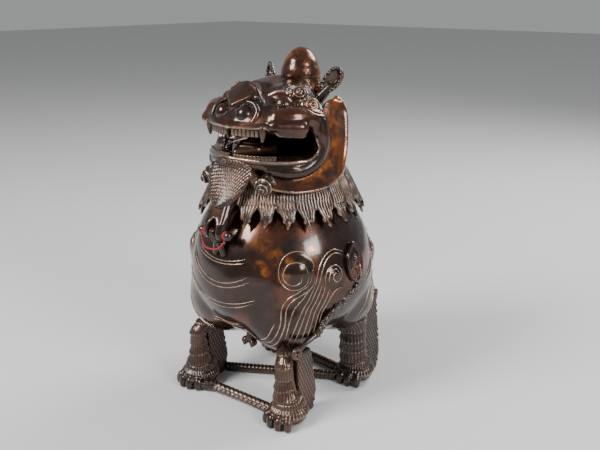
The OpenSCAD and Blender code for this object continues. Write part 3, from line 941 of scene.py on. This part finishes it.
# ------------------------------------------------------------------ head
# Edge of the lips, from the middle of the upper one round the corner to the middle of the lower one
LIP = [(0, -42.8, 160.4), (2, -42.7, 159.0), (6.2, -42.3, 158.6), (14.1, -40.1, 159.6), (21.2, -36.5, 161.2),
       (25.7, -33.1, 158.8), (28.3, -30.6, 156.6), (33.6, -23.4, 155.8), (36.1, -18.3, 154.4),
       (37.6, -13.6, 150.8), (37.2, -12.2, 147.6), (35.9, -16.4, 144.4), (33, -22.8, 143.2),
       (26.6, -31.2, 143.0), (18.2, -37.0, 143.4), (7.5, -40.6, 144.0), (0, -41.4, 144.1)]
# Cheek round the mouth corner, with its radius
CHEEK = [(23, -29, 165.5, 5.0), (28.5, -21, 165.8, 5.6), (32.5, -10, 163.4, 5.8), (35, -8.4, 157, 5.0),
         (35.4, -8, 150, 4.6), (34.4, -11.5, 142.6, 4.6), (31.4, -18.5, 138, 4.6), (27, -25, 137.2, 4.6),
         (20, -31, 138.6, 4.6)]


def head_mesh():
    """Muzzle, brow, back of the head, jaw and cheeks as one skin, hollow and open at the mouth and neck."""
    bm = bmesh.new()
    hull(bm, [(*round_head(33.6, a, 162.4), 5.2) for a in (-50, -36, -20, -7, 7, 20, 36, 50)]
         + both((7, -33, 168, 5.0)) + [(0, -27.5, 176.0, 4.6), (0, -10, 168, 12)])
    for side in (LEFT, RIGHT):
        hull(bm, [(side * 24.4, -32, 161.4, 4.6), (side * 32, -21.6, 160.6, 5.0), (side * 22, -24, 163, 7)])
    hull(bm, both((13, -15, 172, 8.5), (19, -2, 162, 12), (22, -16, 164, 8)) + [(0, 8, 167, 15)])
    hull(bm, both((5, -16, 178, 4.0)) + [(0, -6, 179.4, 5.0), (0, 6, 178, 6.0)])
    hull(bm, both((8, 6, 157, 18)) + [(0, 12, 156, 18)]
         + [(28 * math.sin(a), 28 * math.cos(a), 132, 5.0) for a in np.linspace(0, TURN, 24, endpoint=False)])
    hull(bm, [(*round_head(32.2, a, 141.2), 5.2) for a in range(-75, 76, 15)] + [(0, 6, 141, 26)])
    for side in (LEFT, RIGHT):
        chain(bm, sided(CHEEK, side))
    cutter = bmesh.new()
    for slot in (((-52, 157.8, 2.6), (-52, 148.2, 3.0), (-35, 157.6, 2.6), (-33, 147.4, 3.0)),
                 ((-35, 154.2, 2.6), (-24, 153.2, 2.8), (-35, 147.4, 3.0), (-16.6, 149.6, 4.6))):
        hull(cutter, [(x, *row) for x in (-50, 50) for row in slot])
    hull(cutter, both((28, -14, 150, 5.0), (28, 0, 150, 5.0)))
    hull(cutter, [(*round_head(24, a, 162), 4) for a in range(-60, 61, 20)]
         + both((8, 6, 157, 14.5), (12, -12, 168, 5)) + [(0, 12, 156, 14.5)]
         + [(25.5 * math.sin(a), 25.5 * math.cos(a), 126, 4) for a in np.linspace(0, TURN, 24)])
    hull(cutter, [(*round_head(22, a, 146), 5) for a in range(-75, 76, 15)] + [(0, 6, 140, 22)])
    hull(cutter, [(29 * math.sin(a), 29 * math.cos(a), z, 3) for a in np.linspace(0, TURN, 24)
                  for z in (110, 131)])
    return cast(bm, 0.78, 8, cutter)


class CENSER_OT_skull(bpy.types.Operator):
    """Hollow head with the open mouth, rolled lips, nose folds and incised hair"""
    bl_idname = "censer.skull"
    bl_label = "Head"

    def execute(self, context):
        carving = Carving(head_mesh())
        place = carving.place
        for side in (LEFT, RIGHT):
            lip = smooth_line(sided(LIP, side), 0.4)
            carving.ridge(lip, 0.8, 0.9, taper=0)
            carving.ridge([(side * x, y - 0.4, z + 2.8) for x, y, z in LIP[1:6]], 0.4, 0.6)
            carving.ridge([(side * x * 1.01, y - 0.6, z - 2.6) for x, y, z in LIP[12:]], 0.4, 0.6)
            carving.ridge([(side * x * 1.01, y - 0.6, z - 4.6) for x, y, z in LIP[13:]], 0.3, 0.5)
            # Folds beside the nose, rings round the eye, and the brow
            carving.ridge(sided([(16, -30, 171), (13.6, -27, 176), (8, -24, 180)], side), -0.8, 1.0)
            eye = (side * 20.5, -21, 171.5)
            carving.rings([eye, eye], 6.0, 11.5, 1.9, 0.28,
                          only=lambda p: np.clip((171 - p[:, 2]) / 3, 0, 1) * (p[:, 1] < -8))
            carving.ridge(sided([(10.5, -23.5, 174), (13.6, -21.4, 176.6), (18.6, -17.4, 177.6),
                                 (23.5, -13.6, 176.8), (26.4, -11.6, 174)], side), 0.9, 1.0)
            carving.ridge(sided([(13, -29, 165.6), (18, -28, 163.8), (24, -25.4, 164.2), (28.6, -20, 166.6)],
                                side),
                          0.5, 0.7)
            for centre, reach in (((24.5, -11, 177), 13.5), ((29, -9, 170.5), 11.5)):
                spot = (side * centre[0], centre[1], centre[2])
                carving.rings([spot, spot], 4.5, reach, 1.75, 0.26, only=lambda p: (p[:, 1] > -19) * 1.0)
            # Edge of the cheek
            carving.ridge(sided([(24, -20, 165), (28, -15, 168.6), (33, -9, 169.6), (38, 0, 166),
                                 (41, 5, 158), (41, 6, 149), (39.6, 1, 139.6), (35, -11, 133.8)], side), 0.5,
                                 0.7)
        # Hair at the back of the head
        angle = np.arctan2(place[:, 0], -(place[:, 1] - 2))
        outside = np.hypot(place[:, 0], place[:, 1] - 4) > 25
        back = np.clip((np.abs(angle) - 1.75) / 0.15, 0, 1) * outside * np.clip((place[:, 2] - 128) / 3, 0, 1)
        crown = np.clip((place[:, 1] - 2) / 5, 0, 1) * (place[:, 2] > 170)
        wave = 0.06 * np.sin(place[:, 2] * 0.22)
        carving.lift += 0.26 * np.cos((angle + wave) * 92) * np.maximum(back * (place[:, 2] < 178), 0)
        carving.lift += 0.2 * np.cos(TURN * place[:, 0] / 1.9) * crown * (place[:, 2] > 176)
        piece("cast_head", carving.finish(0.85), "head", "dark_bronze", "head_shell")
        return {"FINISHED"}


def tooth(bm, centre, sizes, turn):
    place = Matrix.Translation(Vector(centre) * MM) @ Matrix.Rotation(turn, 4, "Z")
    bmesh.ops.create_cube(bm, size=1, matrix=place @ Matrix.Diagonal((*(size * MM for size in sizes), 1)))


def tooth_row(r, first, last, count, z, tall):
    """Teeth round the jaw on both sides, from first to last degrees."""
    bm = bmesh.new()
    for side in (LEFT, RIGHT):
        for turn in np.linspace(first, last, count):
            x, y, _ = round_head(r, side * turn, z)
            tooth(bm, (x, y, z), (2.0, 1.7, tall), side * math.radians(turn))
    bmesh.ops.bevel(bm, geom=bm.edges[:], offset=0.45 * MM, offset_type="OFFSET", segments=3, profile=0.5,
                    affect="EDGES", material=-1)
    mesh = bpy.data.meshes.new("teeth")
    bm.to_mesh(mesh)
    bm.free()
    return mesh


class CENSER_OT_mouth(bpy.types.Operator):
    """Teeth, canines and the ridged tongue"""
    bl_idname = "censer.mouth"
    bl_label = "Mouth"

    def execute(self, context):
        rows = (("upper_teeth", (36.9, 4.0, 26, 7, 157.9, 3.8), 0.6),
                ("lower_teeth", (36.0, 4.0, 40, 12, 144.8, 2.6), 0.5))
        for name, row, worn in rows:
            teeth = tooth_row(*row)
            keep(teeth, "relief", np.full(len(teeth.vertices), worn))
            piece("cast_" + name, teeth, "head", "worn_bronze", name)
        bm = bmesh.new()
        for side in (LEFT, RIGHT):
            x, y, _ = round_head(37.6, side * 31, 0)
            chain(bm, [(x, y, 160.6, 2.0), (x * 1.01, y - 0.3, 157.4, 1.6), (x, y - 0.2, 154.2, 0.8)])
            x, y, _ = round_head(35.6, side * 4.5, 0)
            chain(bm, [(x, y, 159, 1.2), (x, y, 156, 0.9), (x, y + 0.3, 154, 0.6)])
        piece("cast_canines", cast(bm, 0.3, 2), "head", "worn_bronze", "canine_teeth")
        bm = bmesh.new()
        hull(bm, both((7.5, -28, 147.0, 2.8), (9, -18, 146, 3))
             + [(0, -36.0, 145.8, 2.4), (0, -29, 148.6, 3.2), (0, -8, 143, 4)])
        carving = Carving(cast(bm, 0.45, 3))
        carving.ridge([(0, -38, 148), (0, -10, 150)], -0.8, 0.7)
        for side in (LEFT, RIGHT):
            for y in (-36, -32.5, -29, -25.5, -22):
                carving.ridge([(side * 0.8, y, 152), (side * 4, y + 2.2, 151), (side * 8, y + 5.5, 149)], 0.5,
                              0.6)
        piece("cast_tongue", carving.finish(), "head", "worn_bronze", "tongue")
        return {"FINISHED"}


class CENSER_OT_features(bpy.types.Operator):
    """Eyes, nostrils, nose ridge, brow curls, horn and ears"""
    bl_idname = "censer.features"
    bl_label = "Face, Horn and Ears"

    def execute(self, context):
        bm = bmesh.new()
        hull(bm, both((7.6, -30.6, 175.0, 3.2))
             + [(0, -36.8, 170.6, 3.2), (0, -27.4, 180.0, 2.4), (0, -18, 177, 4)])
        for side in (LEFT, RIGHT):
            chain(bm, [(0, -26.6, 182.2, 1.0), (side * 5.4, -27.4, 180.6, 1.1),
                       (side * 10.4, -29.0, 176.4, 1.1), (side * 14.2, -30.4, 170.4, 0.9)])
        piece("cast_nose_ridge", Carving(cast(bm, 0.42, 4)).finish(), "head", "dark_bronze", "nose_ridge")
        for name, side in SIDES:
            self.eye(name, side)
            self.nostril(name, side)
            self.curls(name, side)
            self.ear(name, side)
        self.horn()
        return {"FINISHED"}

    def eye(self, name, side):
        bm = bmesh.new()
        ball(bm, (side * 19.2, -19.6, 170.8, 5.5))
        chain(bm, sided([(12.4, -24.6, 170.0, 0.9), (16.4, -25.4, 166.2, 1.1), (22, -22.6, 165.4, 1.1),
                         (26.4, -16.6, 168.2, 0.9)], side))
        chain(bm, sided([(14.0, -24.6, 167.2, 0.7), (17.6, -25.6, 164.2, 0.8), (23.2, -23.6, 163.6, 0.8),
                         (27.4, -17.8, 166.2, 0.7)], side))
        for x, y, z in ((14.6, -20.6, 174.2), (18.0, -18.8, 175.6), (21.6, -16.0, 175.6)):
            ball(bm, (side * x, y, z, 1.8))
        carving = Carving(cast(bm, 0.38, 2))
        carving.spiral((side * 21.4, -23.8, 171.6), (side * 0.5, -0.85, 0.15), 2.4, 1.3, 0.18, hand=side)
        piece("cast_%s_eye" % name, carving.finish(0.35), "head", "dark_bronze", name + "_eye")

    def nostril(self, name, side):
        bm = bmesh.new()
        ball(bm, (side * 7.4, -36.6, 166.6, 5.2))
        chain(bm, sided([(10.6, -40.6, 161.8, 0.9), (14.8, -38.6, 164.2, 1.5), (15.4, -35.6, 168.6, 1.7),
                         (12.0, -34.4, 172.4, 1.4), (8.0, -35.2, 173.6, 0.9)], side))
        piece("cast_%s_nostril" % name, Carving(cast(bm, 0.4, 3)).finish(), "head", "dark_bronze",
              name + "_nostril")

    def curls(self, name, side):
        bm = bmesh.new()
        centres = (((21.2, -9.6, 174.4), (0.55, -0.45, 0.65), 5.4),
                   ((27.6, -8.6, 169.4), (0.85, -0.35, 0.35), 5.4))
        for centre, _, r in centres:
            ball(bm, (side * centre[0], *centre[1:], r))
        carving = Carving(cast(bm, 0.38, 3))
        for centre, axis, r in centres:
            spot, way = sided([centre, axis], side)
            carving.spiral(spot + way * r * 0.5, way, r + 1.5, 1.7, 0.36, hand=-side)
            carving.tint([tuple(spot + way * r * 0.7)] * 2, r)
        piece("cast_%s_brow_curls" % name, carving.finish(0.35), "head", "worn_bronze", name + "_brow_curls")

    def ear(self, name, side):
        rim = [(17.6, 14.0, 178), (19.2, 15.2, 182.6), (23.2, 17.6, 187.4), (26.4, 19.8, 186.8),
               (27.6, 19.4, 182.6), (25.8, 17.0, 178), (22.5, 14.6, 175.0)]
        inner = [(19.4, 15.6, 178.0), (20.8, 17.2, 181.0), (23.4, 19.2, 184.4), (25.0, 20.4, 184.0),
                 (25.8, 19.8, 181.8), (24.6, 18.2, 179.2), (22.4, 16.2, 176.8)]
        back = [(21.2, 17.6, 178.4), (22.0, 18.6, 180), (23.2, 19.8, 181.6), (24.0, 20.2, 181.4),
                (24.4, 19.8, 180.4), (23.6, 19.0, 179.2), (22.4, 17.6, 178.0)]
        bm = bmesh.new()
        rim_line = smooth_line(sided(rim, side), 0.5)
        chain(bm, [(*row, 1.0) for row in rim_line])
        for share in np.linspace(0, 1, 6):
            run = np.array(rim) * (1 - share) + np.array(inner) * share
            chain(bm, [(*row, 0.85) for row in sided(run, side)])
            run = np.array(inner) * (1 - share) + np.array(back) * share
            chain(bm, [(*row, 0.85) for row in sided(run, side)])
        for row in rim_line[::5]:
            ball(bm, (row[0], row[1] - 0.7, row[2], 1.05))
        chain(bm, sided([(18, 13, 172, 3.4), (21.6, 16, 177, 2.6)], side))
        piece("cast_%s_ear" % name, Carving(cast(bm, 0.4, 2)).finish(), "head", "worn_bronze", name + "_ear")

    def horn(self):
        bm = bmesh.new()
        chain(bm, [(0, 17, 176, 10.6), (0, 17, 181, 11.5), (0, 17, 185.6, 10.8), (0, 17.4, 190.4, 8.0)])
        for count in range(9):
            turn = TURN * (count + 0.5) / 9
            x, y = 10.0 * math.sin(turn), 17 - 10.0 * math.cos(turn)
            chain(bm, [(x * 1.12, 17 + (y - 17) * 1.12, 175, 2.6), (x, y, 178.5, 2.2)])
        carving = Carving(cast(bm, 0.5, 3))
        for count in range(9):
            turn = TURN * (count + 0.5) / 9
            x, y = 12 * math.sin(turn), 17 - 12 * math.cos(turn)
            carving.spiral((x, y, 177.4), (x, y - 17, 3), 3.4, 1.6, 0.3)
        carving.tint([(-9, 10, 182), (-8, 10, 190), (-3, 11, 196)], 6.5)
        carving.tint([(8, 24, 186), (9, 17, 178)], 6)
        piece("cast_horn", carving.finish(), "head", "amber_bronze", "horn")


# Outer and inner edge of a cheek flange, from under the jaw up to behind the ear
FLANGE_RIM = [(21, -38, 131.4), (28, -32.4, 128.8), (35, -23, 127.4), (40.0, -9, 128.8), (39.6, 3, 133.6),
              (37.2, 10, 143), (35.6, 13, 154), (33.6, 14.6, 164), (30.4, 15.2, 169.8), (28.6, 13, 172.4)]
FLANGE_ROOT = [(17, -31.5, 142), (24, -25.5, 141.5), (30.6, -17.4, 140.4), (33, -9, 142.0), (33.6, -5.4, 147),
               (33.2, -4.6, 153), (32.4, -4.2, 158.4), (30.6, -3, 163.4), (28.4, 1, 167.4), (27, 5, 170)]


# Mane: open degrees each side of the strap, place of its top edge, how far it flares, and where the locks end
LOCK_GAP, MANE_TOP_Z, MANE_TOP_R, MANE_FLARE, LOCK_TIP_Z = 9.8, 133.5, 34.0, 13.2, 107.0
LOCK_SEED = 7
MANE_WALL = 1.4


class CENSER_OT_hair(bpy.types.Operator):
    """Mane of pointed locks, cheek flanges and beard"""
    bl_idname = "censer.hair"
    bl_label = "Mane, Flanges and Beard"

    def execute(self, context):
        piece("cast_mane", self.mane(context.scene.censer.lock_count), "head", "worn_bronze", "mane_collar")
        for name, side in SIDES:
            piece("cast_%s_flange" % name, self.flange(side), "head", "amber_bronze", name + "_cheek_flange")
            piece("cast_%s_beard_curl" % name, self.beard_curl(side), "head", "worn_bronze",
                  name + "_beard_curl")
        piece("cast_beard", self.beard(), "head", "worn_bronze", "beard")
        return {"FINISHED"}

    def mane(self, locks):
        bm = bmesh.new()
        bmesh.ops.create_grid(bm, x_segments=576, y_segments=36, size=0.5)
        mesh = bpy.data.meshes.new("mane")
        bm.to_mesh(mesh)
        bm.free()
        place = np.empty(len(mesh.vertices) * 3, np.float32)
        mesh.vertices.foreach_get("co", place)
        place = place.reshape(-1, 3).astype(float)
        gap = LOCK_GAP
        turn = gap + (360 - 2 * gap) * (place[:, 0] + 0.5)
        v = place[:, 1] + 0.5
        share = (turn - gap) / (360 - 2 * gap) * (locks - 1)
        number = np.minimum(share.astype(int), locks - 2)
        across = share - number - 0.5
        draw = np.random.default_rng(LOCK_SEED)
        tip = LOCK_TIP_Z + draw.uniform(0, 1.6, locks)[number]
        lean = draw.uniform(-0.10, 0.10, locks)[number]
        notch = 10.5 + draw.uniform(-1.0, 1.5, locks)[number]
        bottom = tip + notch * np.abs(2 * across) ** 0.8
        z = MANE_TOP_Z + (bottom - MANE_TOP_Z) * v
        down = np.clip((MANE_TOP_Z - z) / (MANE_TOP_Z - LOCK_TIP_Z), 0, 1)
        r = MANE_TOP_R + MANE_FLARE * down**0.8
        low = np.clip((tip + notch - z) / notch, 0, 1)
        half_width = np.maximum(1 - low, 0.03)
        strand = across / half_width
        r += 1.1 * low * half_width**0.5 * np.cos(np.clip(strand, -0.5, 0.5) * math.pi)
        wave = 0.15 * np.sin(z * 0.35 + number)
        crest = np.cos(TURN * (strand * 6 + wave))
        edge = np.clip((0.5 - np.abs(strand)) * 8, 0, 1)
        line = 0.26 * np.where(crest > 0, crest**2, crest) * edge * np.clip(half_width * 4, 0, 1)
        r += line - 0.35 * (1 - edge) * low
        angle = np.radians(turn) + lean * low * 0.6 * half_width
        moved = np.stack([r * np.sin(angle), -r * np.cos(angle), z], axis=1)
        mesh.vertices.foreach_set("co", (moved * MM).astype(np.float32).ravel())
        mesh.update()
        keep(mesh, "relief", np.clip(line / 0.28, -1, 1) * 0.8)
        obj = put_in_scene("mane", mesh)
        wall = obj.modifiers.new("wall", "SOLIDIFY")
        wall.thickness = MANE_WALL * MM
        wall.offset = -1
        result = baked(obj)
        bm = bmesh.new()
        bm.from_mesh(result)
        bmesh.ops.remove_doubles(bm, verts=bm.verts, dist=1e-6)
        if bm.calc_volume(signed=True) < 0:
            bmesh.ops.reverse_faces(bm, faces=bm.faces)
        bm.to_mesh(result)
        bm.free()
        return result

    def flange(self, side):
        rim, root = sided(FLANGE_RIM, side), sided(FLANGE_ROOT, side)
        trough = (rim + root) / 2
        trough[:, :2] *= 0.955
        bm = thick_sheet([root, trough, rim], 26, 120, FLANGE_THICKNESS)
        chain(bm, [(*row, 1.35) for row in rim])
        carving = Carving(cast(bm, 0.5, 4))
        carving.ridge([tuple(row) for row in rim * (1.02, 1.02, 1)], 0.35, 0.8, taper=0)
        carving.tint([tuple(row) for row in trough[2:] * (1.02, 1.02, 1)], 6.5)
        return carving.finish()

    def beard(self):
        left = [(0, -41, 142), (8, -39.8, 142), (12.4, -39, 139), (12.6, -41.4, 133), (9.6, -45, 126),
                (4.6, -48.6, 120.4), (0, -49.8, 118.8)]
        rows = [[(x * share, y - 1.6 * (1 - share**2), z) for x, y, z in left]
                for share in (-1, -0.66, -0.33, 0, 0.33, 0.66, 1)]
        bm = thick_sheet(rows, 60, 60, BEARD_THICKNESS)
        edge = [(x * side, y, z, 1.3) for side, run in ((-1, left[::-1]), (1, left[1:])) for x, y, z in run]
        chain(bm, edge)
        hull(bm, both((7, -35, 139, 4), (5, -38, 132, 3)))
        carving = Carving(cast(bm, 0.42, 3))
        x, z = carving.place[:, 0], carving.place[:, 2]
        front = np.clip(-carving.normal[:, 1], 0, 1)
        fan = np.arctan2(x, z - 100)
        away = np.hypot(x, z - 100)
        one, two = fan * 24 + away / 3.4, fan * 24 - away / 3.4
        carving.lift += 0.2 * (np.cos(TURN * one / 1.0) + np.cos(TURN * two / 1.0)) * front
        return carving.finish(0.9)

    def beard_curl(self, side):
        bm = bmesh.new()
        chain(bm, sided([(20, -34, 131, 5.6), (20.8, -37, 130, 4.4), (21.4, -39.2, 129.4, 3.0)], side))
        chain(bm, sided([(11.5, -38, 138, 2.4), (14.5, -38.4, 134.5, 3.0), (17, -37.4, 131, 3.2)], side))
        carving = Carving(cast(bm, 0.4, 2))
        axis = (side * 0.42, -0.86, -0.22)
        carving.spiral((side * 21.2, -38, 129.8), axis, 7.5, 1.7, 0.34, hand=side)
        return carving.finish(0.35)


# ------------------------------------------------------------------ stage
class CENSER_OT_stage(bpy.types.Operator):
    """Pale floor, soft studio lights and the camera"""
    bl_idname = "censer.stage"
    bl_label = "Stage"

    def execute(self, context):
        scene = context.scene
        bm = bmesh.new()
        bmesh.ops.create_grid(bm, x_segments=1, y_segments=1, size=4)
        floor = as_object("studio_floor", bm)
        paper = bpy.data.materials.new("pale_paper")
        n = Nodes(paper)
        coords = n.add("ShaderNodeTexCoord").outputs["Object"]
        tone = n.mix(n.noise(coords, 400, 3), (0.60, 0.60, 0.60), (0.64, 0.64, 0.64))
        n.show(tone, n.add("ShaderNodeBsdfPrincipled", Roughness=0.7))
        floor.data.materials.append(paper)

        world = bpy.data.worlds.new("studio")
        world.use_nodes = True
        background = world.node_tree.nodes["Background"]
        background.inputs["Color"].default_value = (0.78, 0.79, 0.80, 1)
        background.inputs["Strength"].default_value = 0.42
        scene.world = world

        target = Vector((0, 0, 0.11))
        lights = (("key", (-0.30, -0.75, 0.78), 0.42, 15.0), ("side", (0.85, -0.10, 0.50), 0.30, 6.0),
                  ("back", (0.15, 0.70, 0.65), 0.40, 7.0))
        for name, spot, size, power in lights:
            lamp = bpy.data.lights.new(name, "AREA")
            lamp.shape = "SQUARE"
            lamp.size = size
            lamp.energy = power
            obj = put_in_scene(name, lamp)
            obj.location = spot
            obj.rotation_euler = (target - Vector(spot)).to_track_quat("-Z", "Y").to_euler()

        settings = scene.censer
        camera = bpy.data.cameras.new("camera")
        camera.lens = settings.lens
        camera.sensor_width = 36
        camera.clip_start = 0.01
        obj = put_in_scene("camera", camera)
        turn = math.radians(settings.camera_turn)
        obj.location = (settings.camera_distance * math.sin(turn), -settings.camera_distance * math.cos(turn),
                        settings.camera_height)
        heading = turn - math.radians(1.4)
        obj.rotation_euler = (math.radians(90 - 17.0), 0, heading)
        scene.camera = obj
        return {"FINISHED"}


# ------------------------------------------------------------------ panel and settings
class CenserSettings(bpy.types.PropertyGroup):
    """Sizes a user would change"""
    line_width: bpy.props.FloatProperty(
        name="Line Width", description="Width of the fine lines cast on the bowl", default=0.00064,
        subtype="DISTANCE", unit="LENGTH")
    lock_count: bpy.props.IntProperty(
        name="Locks", description="Number of pointed locks round the mane", default=25, min=12, max=40)
    camera_turn: bpy.props.FloatProperty(
        name="Camera Turn", description="Degrees from the front to the animal's left", default=41.6)
    camera_distance: bpy.props.FloatProperty(
        name="Camera Distance", description="Level distance of the camera from the middle", default=0.432,
        subtype="DISTANCE", unit="LENGTH")
    camera_height: bpy.props.FloatProperty(
        name="Camera Height", description="Height of the camera above the floor", default=0.229,
        subtype="DISTANCE", unit="LENGTH")
    lens: bpy.props.FloatProperty(name="Lens", description="Focal length of the camera in millimetres",
                                  default=46.2)


class CENSER_PT_panel(bpy.types.Panel):
    """Lists the censer's pieces"""
    bl_label = "Lion-beast Censer"
    bl_space_type = "VIEW_3D"
    bl_region_type = "UI"
    bl_category = "Censer"

    def draw(self, context):
        layout = self.layout
        for key in CenserSettings.__annotations__:
            layout.prop(context.scene.censer, key)
        for operator in OPERATORS:
            layout.operator(operator.bl_idname)


OPERATORS = (CENSER_OT_stage, CENSER_OT_bowl, CENSER_OT_legs, CENSER_OT_flanks, CENSER_OT_snake,
             CENSER_OT_hinge, CENSER_OT_skull, CENSER_OT_mouth, CENSER_OT_features, CENSER_OT_hair)
CLASSES = (CenserSettings, *OPERATORS, CENSER_PT_panel)


def register():
    for cls in CLASSES:
        bpy.utils.register_class(cls)
    bpy.types.Scene.censer = bpy.props.PointerProperty(type=CenserSettings)


def unregister():
    del bpy.types.Scene.censer
    for cls in reversed(CLASSES):
        bpy.utils.unregister_class(cls)


def main():
    register()
    for operator in OPERATORS:
        group, name = operator.bl_idname.split(".")
        getattr(getattr(bpy.ops, group), name)()


if __name__ == "__main__":
    main()
